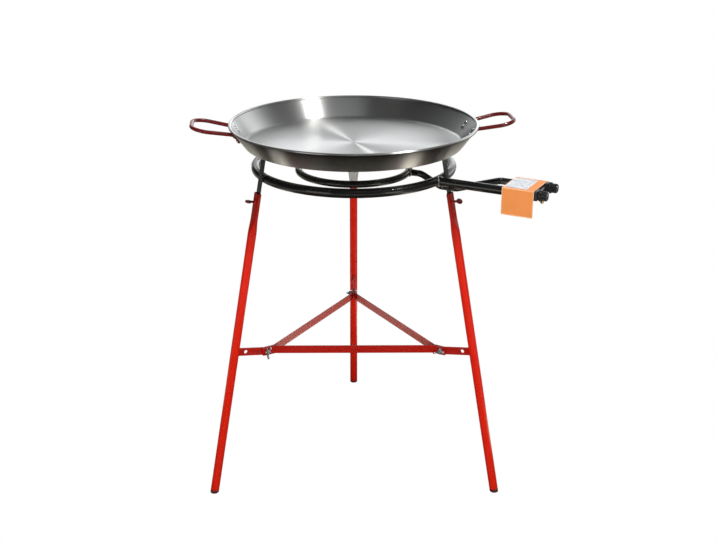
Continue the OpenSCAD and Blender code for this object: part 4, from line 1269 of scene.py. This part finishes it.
class BURNER_OT_gas_taps(bpy.types.Operator):
    """Finishes the tap bodies, gland nuts, gas rail and hose tail"""

    bl_idname = "burner.gas_taps"
    bl_label = "Gas Taps"

    def execute(self, context):
        s = context.scene.burner_gas
        gas = Gas(s)
        for name in TAPS:
            body = softened(merged_copy(f"tap_body_{name}", flat_faces=True), EDGES["tap"], 3)
            finished(f"tap_housing_{name}", body, "tap_black", "stand", [f"tap_body_{name}"])
            hexagon = pipe_of(s.gland_d / 2, gas.stem_bore, gas.tap_end, gas.gland_end, 6, gas.tap(name))
            gland = softened(hexagon, EDGES["gland"])
            finished(f"gland_nut_{name}", gland, "tap_black", "stand", [f"tap_gland_{name}"])
        across = gas.feed(0) @ shifted(gas.rail_at, 0, 0) @ turned(-pi / 2, "X")
        nut_from = gas.off - s.tap_w / 2
        nuts = []
        for sign in (-1, 1):
            low, high = sorted((sign * nut_from, sign * (nut_from - s.rail_nut_l)))
            hexagon = pipe_of(s.rail_nut / 2, s.rail_d / 2, low, high, 6, across)
            nuts.append(softened(hexagon, EDGES["rail_nut"]))
        finished("rail_nuts", joined(*nuts), "tap_black", "stand")
        finished("rail_tube", merged_copy("gas_rail"), "burner_black", "stand", ["gas_rail"])
        self.hose_tail(s, gas)
        for node in ("tap_spindle_outer", "tap_spindle_inner", "injector_outer", "injector_inner"):
            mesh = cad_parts[node].data
            mesh.materials.clear()
            mesh.materials.append(material_of("brass"))
        return {"FINISHED"}

    def hose_tail(self, s, gas):
        """A collar on the rail with a barbed tail below it, bored through."""
        sunk, chamfer, lip, land, worn, lead = 0.001, 0.0006, 0.0004, 0.0012, 0.0001, 0.0003
        under = -s.rail_d / 2
        top = under - s.collar_l
        end = top - s.tail_l
        collar, crest, bore = s.collar_d / 2, s.tail_d / 2, s.tail_bore / 2
        root = crest - s.barb_h
        pitch = (s.tail_l - s.tail_neck) / s.barbs
        profile = [(bore, under + sunk), (collar, under + sunk)]
        profile += [(collar, top + chamfer), (collar - chamfer, top), (root, top)]
        for n in range(s.barbs):
            high = top - s.tail_neck - n * pitch
            profile += [(root, high), (crest, high - lip), (crest - worn, high - land)]
            profile.append((root, high - pitch + lip))
        profile += [(root - lead, end), (bore, end)]
        place = gas.feed(0) @ shifted(gas.rail_at, s.inlet_off, 0)
        mesh = lathe(profile, 48, place, closed=True)
        finished("hose_barb", mesh, "brass", "stand", ["hose_tail"], sharp=28)


class BURNER_OT_tap_knobs(bpy.types.Operator):
    """Builds the two ribbed knobs with their pointers"""

    bl_idname = "burner.tap_knobs"
    bl_label = "Tap Knobs"

    def execute(self, context):
        s = context.scene.burner_gas
        gas = Gas(s)
        start = gas.gland_end + s.knob_gap
        end = start + s.knob_l
        shoulder = start + s.knob_skirt
        profile = self.cap_profile(s, gas, start, end)
        run = s.knob_l - s.knob_skirt - s.knob_round
        sunk = 0.0002
        values = {
            "Count": s.knob_ribs, "Radius": s.knob_body_d / 2 - s.knob_rib_r, "Rib": s.knob_rib_r,
            "Length": run, "Middle": shoulder + run / 2 - sunk, "Material": material_of("knob_black"),
        }
        half, corner, thick, depth = s.pointer_w / 2, 0.0004, 0.0006, 0.0008
        bar = oblong(-half, half, s.pointer_from, s.pointer_to, corner)
        for name in TAPS:
            along, body = gas.tap(name), f"tap_{name}"
            cap = lathe(profile, 72, along)
            finished(f"knob_cap_{name}", cap, "knob_black", body, [f"tap_knob_{name}"])
            ribs = grown(rib_ring_tree, values, None, along)
            finished(f"knob_ribs_{name}", ribs, "knob_black", body)
            pointer = plate(bar, [], thick, EDGES["pointer"])
            pointer.transform(along @ shifted(0, 0, end - depth) @ turned(pi / 2, "Z"))
            finished(f"knob_pointer_{name}", pointer, "knob_mark", body)
        return {"FINISHED"}

    def cap_profile(self, s, gas, start, end):
        """From the stem's bore over the skirt and the body to a shallow dish in the front."""
        chamfer, lip_r, steps = 0.0004, 0.001, 6
        core, skirt = s.knob_body_d / 2 - s.knob_groove, s.knob_d / 2
        shoulder = start + s.knob_skirt
        profile = [(gas.stem_bore, start), (skirt - chamfer, start), (skirt, start + chamfer)]
        profile += arc(lip_r, skirt - lip_r, shoulder - lip_r, 0, pi / 2, steps) + [(core, shoulder)]
        profile += arc(s.knob_round, core - s.knob_round, end - s.knob_round, 0, pi / 2, steps)
        dish = ((0.72, 0.0002), (0.66, 0.0009), (0.0, 0.0010))
        return profile + [(core * share, end - depth) for share, depth in dish]


class BURNER_OT_card_sleeve(bpy.types.Operator):
    """Folds the card sleeve over the pipes and lays its bare label on top"""

    bl_idname = "burner.card_sleeve"
    bl_label = "Card Sleeve"

    def execute(self, context):
        s = context.scene.burner_gas
        gas = Gas(s)
        half, wide, top = s.card_w / 2, s.card_l / 2, gas.card_top
        low = top - s.card_h
        rear_low = low + s.card_rear_up
        route = Route([(-half, low), (-half, top), (half, top), (half, rear_low)], s.card_fold)
        place = gas.feed(0) @ shifted(s.card_start + wide, 0, 0)
        inverse = place.inverted()

        def bowed(across, up, along):
            """Flaps belly out a little between their fold and their free edge."""
            drop = min(max((top - up) / s.card_h, 0.0), 1.0)
            belly = s.card_belly * sin(pi * drop) * cos(along / wide * 1.2)
            return place @ Vector((along, across + copysign(belly, across), up))

        def worn(point):
            """Full along folds and free edges."""
            p = inverse @ point
            free = abs(p.z - (low if p.y < 0 else rear_low))
            fold = min(abs(top - p.z) + abs(half - abs(p.y)), free, wide - abs(p.x))
            return 1 - smooth_step(fold / s.card_wear)

        rows, columns = 24, 60
        bm = opened(plate(oblong(0, route.length, -wide, wide, s.card_corner), [], s.card_t, EDGES["card"]))
        cut_across(bm, (0, 1, 0), [-wide + 2 * wide * k / rows for k in range(1, rows)])
        mesh = bent(mesh_of(bm), route, bowed, [route.length * k / columns for k in range(1, columns)])
        mark(mesh, "worn", worn)
        finished("sleeve_card", mesh, "card_orange", "stand", ["card_sleeve"])
        x, y = s.label_l / 2, s.label_w / 2
        label = plate(oblong(-x, x, -y, y, s.label_corner), [], s.label_t, EDGES["label"])
        middle = s.card_start + s.label_margin + s.label_l / 2
        label.transform(gas.feed(0) @ shifted(middle, 0, top + (s.card_t + s.label_t) / 2))
        finished("sleeve_label", label, "label_white", "stand", ["card_label"])
        return {"FINISHED"}


class BURNER_OT_legs(bpy.types.Operator):
    """Draws the three leg tubes with flattened tops, their foot caps and thread bushes"""

    bl_idname = "burner.legs"
    bl_label = "Legs"

    def execute(self, context):
        s = context.scene.burner_stand
        stand = Stand(s)
        for side, azimuth in SIDES.items():
            place = stand.leg(azimuth)
            tube = self.tube(s, stand, side)
            tube.transform(place)
            finished(f"leg_tube_{side}", tube, "leg_enamel", "stand", [f"leg_{side}"])
            cap = self.cap(s, stand, place)
            finished(f"foot_cap_{side}", cap, "foot_dark", "stand", [f"foot_plug_{side}"])
        bushes = softened(merged_copy("leg_thread_inserts", flat_faces=True), EDGES["bush"])
        finished("thread_bushes", bushes, "leg_red", "stand", ["leg_thread_inserts"])
        return {"FINISHED"}

    def tube(self, s, stand, side):
        """A closed tube wall, up the outside and down the inside, with painted shade up its top; the rear one
        is grey inside its top.
        """
        steps, chamfer, foot_lip, top_lip = 20, 0.0004, 0.0006, 0.0005
        below_ramp = [0.15, *[0.10 - 0.01 * k for k in range(10)], 0.004]
        levels = [(stand.tube_end, 0.0), (stand.tube_end + foot_lip, 0.0)]
        levels += [(stand.round_to - drop, 0.0) for drop in below_ramp]
        levels += [(stand.round_to + s.ramp * k / steps, smooth_step(k / steps)) for k in range(steps + 1)]
        levels += [(stand.top - top_lip, 1.0), (stand.top, 1.0)]

        def ring(z, t, inset):
            half_w = (s.leg_d + (s.flat_w - s.leg_d) * t) / 2 - inset
            half_t = (s.leg_d + (s.flat_t - s.leg_d) * t) / 2 - inset
            return [(x, y, z) for x, y in oval(half_t, half_w, 2 + 1.6 * t, 64)]

        # Grey inside the rear leg's flattened top, on the face towards the axis; the other legs get none.
        def bare(point):
            rise = smooth_step((point.z - stand.round_to + 0.010) / 0.008)
            return rise * smooth_step(-point.x / s.flat_t * 4 - 0.5) if side == "rear" else 0.0

        # Painted shade: 1 up the leg's top, where the pan shadows it, easing to 0 further down.
        def pan_shadow(point):
            return smooth_step((point.z - stand.round_to + s.pan_shadow_from) / s.pan_shadow_l)

        last = len(levels) - 1
        outside = [ring(z, t, chamfer if i in (0, last) else 0.0) for i, (z, t) in enumerate(levels)]
        inside = [ring(z, t, s.leg_wall) for z, t in levels[::-1]]
        mesh = skin(outside + inside, closed=True)
        mark(mesh, "bare", bare)
        mark(mesh, "pan_shadow", pan_shadow)
        return mesh

    def cap(self, s, stand, place):
        """A cap that closes the tube's end, cut level where it stands."""
        steps, radius, top = 64, s.leg_d / 2, stand.tube_end
        spigot = radius - s.leg_wall - 0.0001
        turned_part = [(spigot, top + s.plug_in), (spigot, top)]
        turned_part += [(radius - 0.0002, top), (radius, top - 0.0004)]
        sole = ((radius, 0.0012), (radius - 0.0005, 0.0003), (radius - 0.0012, 0.0))

        def level_ring(r, height):
            points = []
            for x, y in circle(r, steps):
                rise = place[2][0] * x + place[2][1] * y + place[2][3]
                points.append((x, y, (height - rise) / place[2][2]))
            return points

        rings = [[(x, y, z) for x, y in circle(r, steps)] for r, z in turned_part]
        return skin(rings + [level_ring(r, height) for r, height in sole], place)


class BURNER_OT_thumb_screws(bpy.types.Operator):
    """Forms the three spade-headed thumbscrews"""

    bl_idname = "burner.thumb_screws"
    bl_label = "Thumbscrews"

    def execute(self, context):
        s = context.scene.burner_stand
        stand = Stand(s)
        core = s.screw_d / 2 - 0.00035
        middle = s.flat_t / 2 + s.screw_neck + s.head_d / 2
        neck_at = middle - s.head_d / 2 - 0.0022
        rows = self.shank(s, core, neck_at) + self.spade(s, middle, neck_at)
        rings = [[(x, y, z) for x, y in oval(w, t, q, 40)] for z, w, t, q in rows]
        start, run = 0.0009, neck_at - 0.0022
        values = {
            "Radius": core, "Ridge": 0.00033, "Turns": run / s.screw_pitch, "Height": run,
            "Material": material_of("screw_red"),
        }
        for side, azimuth in SIDES.items():
            place = stand.screw(azimuth) @ turned(radians(SCREW_TURNS[side]), "Z")
            body = f"thumb_screw_{side}"
            screw = skin(rings, place)
            finished(f"spade_screw_{side}", screw, "screw_red", body, [body], sharp=50)
            thread = grown(thread_tree, values, None, place @ shifted(0, 0, start))
            finished(f"spade_thread_{side}", thread, "screw_red", body)
        return {"FINISHED"}

    def shank(self, s, core, neck_at):
        """Rows of height, half width, half thickness and squareness up to the neck."""
        chamfer, radius = 0.0006, s.screw_d / 2
        rows = [(s.seat_gap, core - chamfer), (s.seat_gap + chamfer, core)]
        rows += [(neck_at - 0.0010, core), (neck_at - 0.0006, radius)]
        return [(z, r, r, 2.0) for z, r in rows]

    def spade(self, s, middle, neck_at):
        """The same rows from the round neck over the flat round head."""
        steps, least = 26, 1e-5
        radius, head = s.screw_d / 2, s.head_d / 2
        span = middle + head - neck_at
        rows = []
        for k in range(steps + 1):
            z = neck_at + span * (1 - (1 - k / steps) ** 1.35)
            away = min(abs(z - middle) / head, 1.0)
            disc = head * sqrt(max(1 - away ** 2, 0.0))
            ease = smooth_step((z - neck_at) / (0.5 * span))
            slim = radius * (1 - 0.12 * sin(pi * min((z - neck_at) / (0.4 * span), 1.0)))
            wide = max(disc, slim) if z < middle else disc
            thick = radius + (s.head_t / 2 - radius) * ease
            if z > middle:
                thick *= (1 - away ** 6) ** 0.5
            rows.append((z, max(wide, least), max(thick, least), 2 + 1.2 * ease))
        return rows


class BURNER_OT_brace(bpy.types.Operator):
    """Cuts the ears and brace bars and sets their bolts"""

    bl_idname = "burner.brace"
    bl_label = "Brace"

    def execute(self, context):
        s = context.scene.burner_stand
        stand = Stand(s)
        for side, azimuth in SIDES.items():
            ear = self.ear(s)
            ear.transform(stand.leg(azimuth) @ shifted(0, 0, stand.ear_at) @ turned(pi / 2, "X"))
            # The rear ear carries painted sheen; the side ears stay deep red.
            look = self.fade(s, stand, ear, 0.0) if side == "rear" else "brace_red"
            finished(f"ear_plate_{side}", ear, look, "stand", [f"leg_ear_{side}"])
        for name, azimuth in BARS.items():
            bar = self.bar(s, stand, azimuth)
            # The front bar stays deep red; the side bars carry painted sheen away from their bends.
            look = "brace_red" if name == "front" else self.fade(s, stand, bar, s.bar_bend + s.unsheened)
            finished(f"brace_flat_{name}", bar, look, "stand", [f"brace_bar_{name}"])
        self.bolts(s, stand)
        return {"FINISHED"}

    def fade(self, s, stand, mesh, clear):
        """Marks the painted sheen, a paler red standing in for reflected light, none round the bolts, and
        names the look that shows it.
        """
        bolts = [stand.bolt(side).translation for side in SIDES]

        def sheened(point):
            return smooth_step((min((point - bolt).length for bolt in bolts) - clear) / s.sheen_l)

        mark(mesh, "sheened", sheened)
        return "brace_sheen"

    def ear(self, s):
        """A plate from the leg to its rounded end, with the bolt's hole and a spare one."""
        half, sunk = s.ear_w / 2, 0.0004
        root = sunk - s.leg_d / 2
        outline = arc(half, -s.bolt_reach, 0.0, pi / 2, 3 * pi / 2, 20) + [(root, -half), (root, half)]
        holes = [circle(s.hole_d / 2, 40, -reach) for reach in (s.bolt_reach, s.spare_reach)]
        return plate(outline, holes, s.ear_t, EDGES["strip"])

    def bar(self, s, stand, azimuth):
        """A flat bar on edge, bent at both ends to lie on the ears."""
        points = []
        ends = ((azimuth, s.ear_t, (1, -1)), (azimuth + BAR_SPAN, -s.ear_t, (-1, 1)))
        for end, off, order in ends:
            for step in order:
                r = stand.bolt_r + (s.bar_tail if step > 0 else -s.bar_bend)
                a = radians(end)
                points.append((r * cos(a) - off * sin(a), r * sin(a) + off * cos(a)))
        route = Route(points, s.bar_bend_r)
        outline = oblong(0, route.length, -s.ear_w / 2, s.ear_w / 2, s.bar_corner)
        holes = [circle(s.hole_d / 2, 40, x) for x in (s.bar_tail, route.length - s.bar_tail)]
        blank = plate(outline, holes, s.ear_t, EDGES["strip"])
        fading = [s.bar_tail + s.bar_bend + 0.004 * k for k in range(7)]
        cuts = fading + [route.length - cut for cut in fading]
        return bent(blank, route, lambda x, y, up: BURNER @ Vector((x, y, stand.bolt_z + up)), cuts)

    def bolts(self, s, stand):
        """Hexagon bolts through bars and ears, with their threads."""
        end = stand.stack + s.seat_gap + s.nut_h + s.bolt_out
        core = s.bolt_d / 2 - 0.0004
        shank = [(core, -stand.stack), (core, end - 0.0008), (core - 0.0007, end)]
        corner = s.bolt_af / 2 / cos(pi / 6)
        head_low = -stand.stack - s.bolt_head
        head = [(corner * 0.86, head_low), (corner, head_low + 0.0009), (corner, -stand.stack)]
        run = end + stand.stack - 0.0012
        start = 0.0002 - stand.stack
        values = {
            "Radius": core, "Ridge": 0.0003, "Turns": run / s.bolt_pitch, "Height": run,
            "Material": material_of("zinc"),
        }
        meshes, threads = [], []
        for side in SIDES:
            place = stand.bolt(side)
            meshes += [lathe(shank, 40, place), softened(lathe(head, 6, place), EDGES["bolt"])]
            threads.append(grown(thread_tree, values, None, place @ shifted(0, 0, start)))
        nodes = [f"brace_bolt_{side}" for side in SIDES]
        finished("hex_bolts", joined(*meshes), "zinc", "stand", nodes)
        finished("hex_bolt_threads", joined(*threads), "zinc", "stand")


class BURNER_OT_wing_nuts(bpy.types.Operator):
    """Forms the three wing nuts"""

    bl_idname = "burner.wing_nuts"
    bl_label = "Wing Nuts"

    def execute(self, context):
        s = context.scene.burner_stand
        stand = Stand(s)
        bore = s.bolt_d / 2 + s.nut_bore_gap
        low, top, tip = s.nut_d / 2, s.nut_top_d / 2, s.nut_tip_r
        hub = [(bore, 0), (low - 0.0006, 0), (low, 0.0006), (low - 0.0002, 0.0022), (top, s.nut_h - 0.0012)]
        hub += [(top - 0.0012, s.nut_h), (bore, s.nut_h)]
        inside = low - 0.0028
        wing = [(inside, 0.0014), (low + 0.0004, 0.0016), (low + 0.0026, 0.0042)]
        wing += arc(tip, s.nut_span / 2 - tip, s.nut_tall - tip, radians(-48), radians(142), 16)
        wing += [(top + 0.0010, s.nut_h + 0.0006), (top - 0.0006, s.nut_h - 0.0010)]
        wing.append((inside, s.nut_h - 0.0014))
        for side in SIDES:
            place = stand.bolt(side) @ shifted(0, 0, stand.stack + s.seat_gap)
            place = place @ turned(radians(NUT_TURNS[side]), "Z")
            meshes = [lathe(hub, 48, place, closed=True)]
            for flip in (0, pi):
                mesh = plate(wing, [], s.nut_wing_t, EDGES["wing"])
                mesh.transform(place @ turned(flip, "Z") @ turned(pi / 2, "X"))
                meshes.append(mesh)
            body = f"wing_nut_{side}"
            finished(f"winged_nut_{side}", joined(*meshes), "zinc", body, [body], sharp=50)
        return {"FINISHED"}


class BURNER_OT_weld_beads(bpy.types.Operator):
    """Runs weld beads along the joints of ears, strips and feed pipes"""

    bl_idname = "burner.weld_beads"
    bl_label = "Weld Beads"

    def execute(self, context):
        s = context.scene.burner_stand
        stand = Stand(s)
        red, black = [], []
        for azimuth in SIDES.values():
            for side in (-1, 1):
                red.append(self.ear_line(s, stand, azimuth, side))
                black.append(self.strip_line(s, stand, azimuth, side))
        runs = (
            ("red", red, "leg_red", "leg_red", s.bead_red),
            ("black", black, "burner_black", "burner_black", s.bead_black),
            ("pipe", self.pipe_lines(context.scene.burner_gas), "burner_black", "weld_steel", s.bead_pipe),
        )
        for name, lines, slot, look, bead in runs:
            beads = []
            for n, line in enumerate(lines):
                values = {"Bead": bead, "Spacing": bead * 1.1, "Seed": n, "Material": material_of(look)}
                beads.append(grown(weld_bead_tree, values, polyline(line)))
            finished(f"weld_beads_{name}", joined(*beads), look, "stand")
        return {"FINISHED"}

    def ear_line(self, s, stand, azimuth, side):
        """Along one face of an ear where it meets the leg."""
        y = side * (s.ear_t / 2 + 0.0004)
        x = -sqrt((s.leg_d / 2) ** 2 - y ** 2) - 0.0002
        reach = s.ear_w / 2 - 0.001
        leg = stand.leg(azimuth)
        return [leg @ Vector((x, y, stand.ear_at + reach * k / 6)) for k in range(-6, 7)]

    def strip_line(self, s, stand, azimuth, side):
        """Along one edge of a support strip where it touches the outer ring."""
        edge = side * (s.strip_w / 2 + 0.0003)
        reach = 0.0055
        line = []
        for k in range(-6, 7):
            z = reach * k / 6
            gap = OUTER_TUBE_R - sqrt(OUTER_TUBE_R ** 2 - z ** 2)
            line.append(stand.strip(azimuth) @ Vector((-s.strip_t / 2 - gap * 0.4, edge, z)))
        return line

    def pipe_lines(self, s):
        """Round each feed pipe where it enters its ring."""
        gas = Gas(s)
        rings = (
            (TAPS["outer"], s.outer_feed_d / 2, OUTER_R, OUTER_TUBE_R, 0.0),
            (TAPS["inner"], s.inner_feed_d / 2, INNER_R, INNER_TUBE_R, INNER_Z - OUTER_Z),
        )
        lines = []
        for sign, pipe, ring, tube, drop in rings:
            line = []
            for y, z in circle(pipe, 48, sign * gas.off):
                out = ring + sqrt(tube ** 2 - z ** 2)
                line.append(gas.feed(0) @ Vector((sqrt(out ** 2 - y ** 2), y, z + drop)))
            lines.append(line + line[:1])
        return lines


class BURNER_OT_studio(bpy.types.Operator):
    """Sets the pale floor, the soft lights and the camera"""

    bl_idname = "burner.studio"
    bl_label = "Studio"

    def execute(self, context):
        scene = context.scene
        self.floor(scene.burner_colours)
        self.sky(scene)
        centre = Vector((AXIS.x, AXIS.y, PAN_LOW.z))
        middle = Vector((AXIS.x, AXIS.y, PAN_LOW.z / 2))
        # Name, place, target, size in metres, watts, whether it lights surfaces and shows in gloss
        boxes = (
            ("key_box", centre + 2.6 * Vector((0.520, -0.318, 0.791)), centre, 0.16, 66, False, True),
            ("roof_box", centre + Vector((0.2, 0, 2.6)), centre, 1.0, 40, True, False),
            ("top_box", centre + Vector((0, -1.3, 2.3)), middle, 1.2, 40, True, False),
            ("front_box", middle + Vector((0, -3.3, -0.1)), middle, 1.0, 37, True, False),
            ("left_box", middle + Vector((-1.9, -2.5, 0.3)), middle, 1.4, 14, True, True),
            ("right_box", middle + Vector((2.1, -2.3, 0.0)), middle, 1.1, 11, True, True),
        )
        for box in boxes:
            self.softbox(*box)
        self.camera(scene)
        scene.view_settings.view_transform = "Standard"
        return {"FINISHED"}

    def floor(self, colours):
        """A floor that the camera sees as plain white; reflections see it with a painted shadow under the
        object, two glowing strips of painted light, and pale further out."""
        finish = Finish("pale_floor", Roughness=0.9, Specular_IOR_Level=0.1, Emission_Strength=2.4)
        graph = finish.graph
        shade_place, shade_from, shade_to = (AXIS.x - 0.10, AXIS.y - 0.15, 0), 1.1, 1.5
        away = graph.add("ShaderNodeVectorMath", {0: finish.about(shade_place)}, operation="LENGTH")
        light_path = graph.add("ShaderNodeLightPath").outputs
        pale = graph.ease(away.outputs["Value"], shade_from, shade_to)
        lit = graph.math("MAXIMUM", pale, light_path["Is Diffuse Ray"])
        # Place from the burner's axis, direction in degrees, half width and share of the glow
        strips = ((0.57, 0.0, -62, 0.17, 1.0), (-0.71, 0.26, -127, 0.20, 0.6))
        glow = 0.0
        for x, y, turn, reach, power in strips:
            across = graph.axes(finish.about((AXIS.x + x, AXIS.y + y, 0), radians(turn)))[1]
            strip = graph.ease(graph.math("ABSOLUTE", across), reach, 0.02, 0.0, power)
            glow = graph.math("MAXIMUM", glow, strip)
        # Painted light: the strips glow as pools of light on the floor.
        finish.drive("Emission Color", finish.blend(glow, rgba((0, 0, 0)), rgba(colours.floor_glow)))
        # Painted shadow: reflections see the floor nearly black under the object.
        finish.drive("Base Color", finish.blend(lit, rgba(colours.floor, 0.05), rgba(colours.floor)))
        white = graph.add("ShaderNodeEmission", {"Color": (1, 1, 1, 1), "Strength": 1.0})
        shaders = {0: light_path["Is Camera Ray"], 1: finish.shader.outputs[0], 2: white.outputs[0]}
        mixed = graph.add("ShaderNodeMixShader", shaders)
        graph.fill(finish.output.inputs["Surface"], mixed.outputs[0])
        half = 15.0
        corners = ((-half, -half), (half, -half), (half, half), (-half, half))
        bm = bmesh.new()
        bm.faces.new([bm.verts.new((x, y, 0)) for x, y in corners])
        mesh = mesh_of(bm, "pale_floor")
        mesh.materials.append(finish.material)
        placed(mesh, "pale_floor")

    def sky(self, scene):
        """A dim room with a bright backdrop behind the object and a pale ceiling; the camera sees white."""
        world = bpy.data.worlds.new("studio")
        scene.world = world
        world.use_nodes = True
        world.node_tree.nodes.clear()
        graph = Graph(world.node_tree)
        x, y, z = graph.axes(graph.add("ShaderNodeTexCoord").outputs["Generated"])
        ease, times = graph.ease, graph.times

        # The backdrop ends to the left, dims to the right of the middle and is lit again at its right end
        behind = times(ease(y, 0.15, 0.7), ease(z, 0.5, 0.95, 2.3, 0.0))
        twist = times(x, graph.math("SUBTRACT", z, 0.3))
        wide = times(ease(x, -0.5, -0.3), ease(x, 0.25, 0.5, 1.0, 0.3))
        sides = times(wide, ease(twist, -0.02, 0.02, 1.0, 0.3))
        backdrop = times(behind, graph.math("ADD", sides, ease(x, 0.45, 0.65, 0.0, 0.6)))

        # The ceiling is pale in front of the object and to the right
        above = times(ease(y, -0.35, 0.0, 1.0, 0.0), ease(z, 0.45, 0.75))
        ceiling = times(above, ease(x, -0.3, 0.0, 0.0, 0.34))
        room = graph.math("ADD", ease(x, -0.6, 0.7, 0.06, 0.18), ceiling)
        level = graph.math("ADD", backdrop, room)
        seen = graph.add("ShaderNodeLightPath").outputs["Is Camera Ray"]
        shown = graph.add("ShaderNodeMix", {0: seen, 2: level, 3: 1.0})
        tone = graph.add("ShaderNodeMix", {0: seen, 6: (0.95, 0.97, 1, 1), 7: (1, 1, 1, 1)}, data_type="RGBA")
        light = graph.add("ShaderNodeBackground", {"Color": tone.outputs[2], "Strength": shown.outputs[0]})
        graph.add("ShaderNodeOutputWorld", {0: light.outputs[0]})

    def softbox(self, name, place, target, size, power, diffuse, glossy):
        light = bpy.data.lights.new(name, "AREA")
        light.size = size
        light.energy = power
        obj = placed(light, name)
        obj.visible_diffuse = diffuse
        obj.visible_glossy = glossy
        obj.location = place
        obj.rotation_euler = (target - place).to_track_quat("-Z", "Y").to_euler()

    def camera(self, scene):
        """The camera, tilted down in front of the object."""
        tilt, turn = 21.125, -0.364
        data = bpy.data.cameras.new("camera")
        data.sensor_width = 36.0
        data.lens = 55.08
        obj = placed(data, "camera")
        obj.location = (AXIS.x - 0.006, AXIS.y - 2.5805, 1.5168)
        obj.rotation_euler = (radians(90 - tilt), 0, radians(turn))
        scene.camera = obj


class BURNER_PT_builder(bpy.types.Panel):
    """Lists the pieces of the burner"""

    bl_idname = "BURNER_PT_builder"
    bl_label = "Paella Burner"
    bl_space_type = "VIEW_3D"
    bl_region_type = "UI"
    bl_category = "Burner"

    def draw(self, context):
        for operator in OPERATORS:
            self.layout.operator(operator.bl_idname)


OPERATORS = (
    BURNER_OT_studio, BURNER_OT_pan_bowl, BURNER_OT_pan_handles, BURNER_OT_handle_rivets,
    BURNER_OT_burner_rings, BURNER_OT_pan_supports, BURNER_OT_gas_taps, BURNER_OT_tap_knobs,
    BURNER_OT_card_sleeve, BURNER_OT_legs, BURNER_OT_thumb_screws, BURNER_OT_brace, BURNER_OT_wing_nuts,
    BURNER_OT_weld_beads,
)
GROUPS = {
    "burner_pan": BurnerPanSizes, "burner_gas": BurnerGasSizes, "burner_stand": BurnerStandSizes,
    "burner_colours": BurnerColours,
}


def register():
    for group in GROUPS.values():
        bpy.utils.register_class(group)
    for name, group in GROUPS.items():
        setattr(bpy.types.Scene, name, bpy.props.PointerProperty(type=group))
    for operator in OPERATORS:
        bpy.utils.register_class(operator)
    bpy.utils.register_class(BURNER_PT_builder)


def unregister():
    bpy.utils.unregister_class(BURNER_PT_builder)
    for operator in reversed(OPERATORS):
        bpy.utils.unregister_class(operator)
    for name, group in reversed(GROUPS.items()):
        delattr(bpy.types.Scene, name)
        bpy.utils.unregister_class(group)


def main():
    register()
    for operator in OPERATORS:
        group, name = operator.bl_idname.split(".")
        getattr(getattr(bpy.ops, group), name)()


if __name__ == "__main__":
    main()
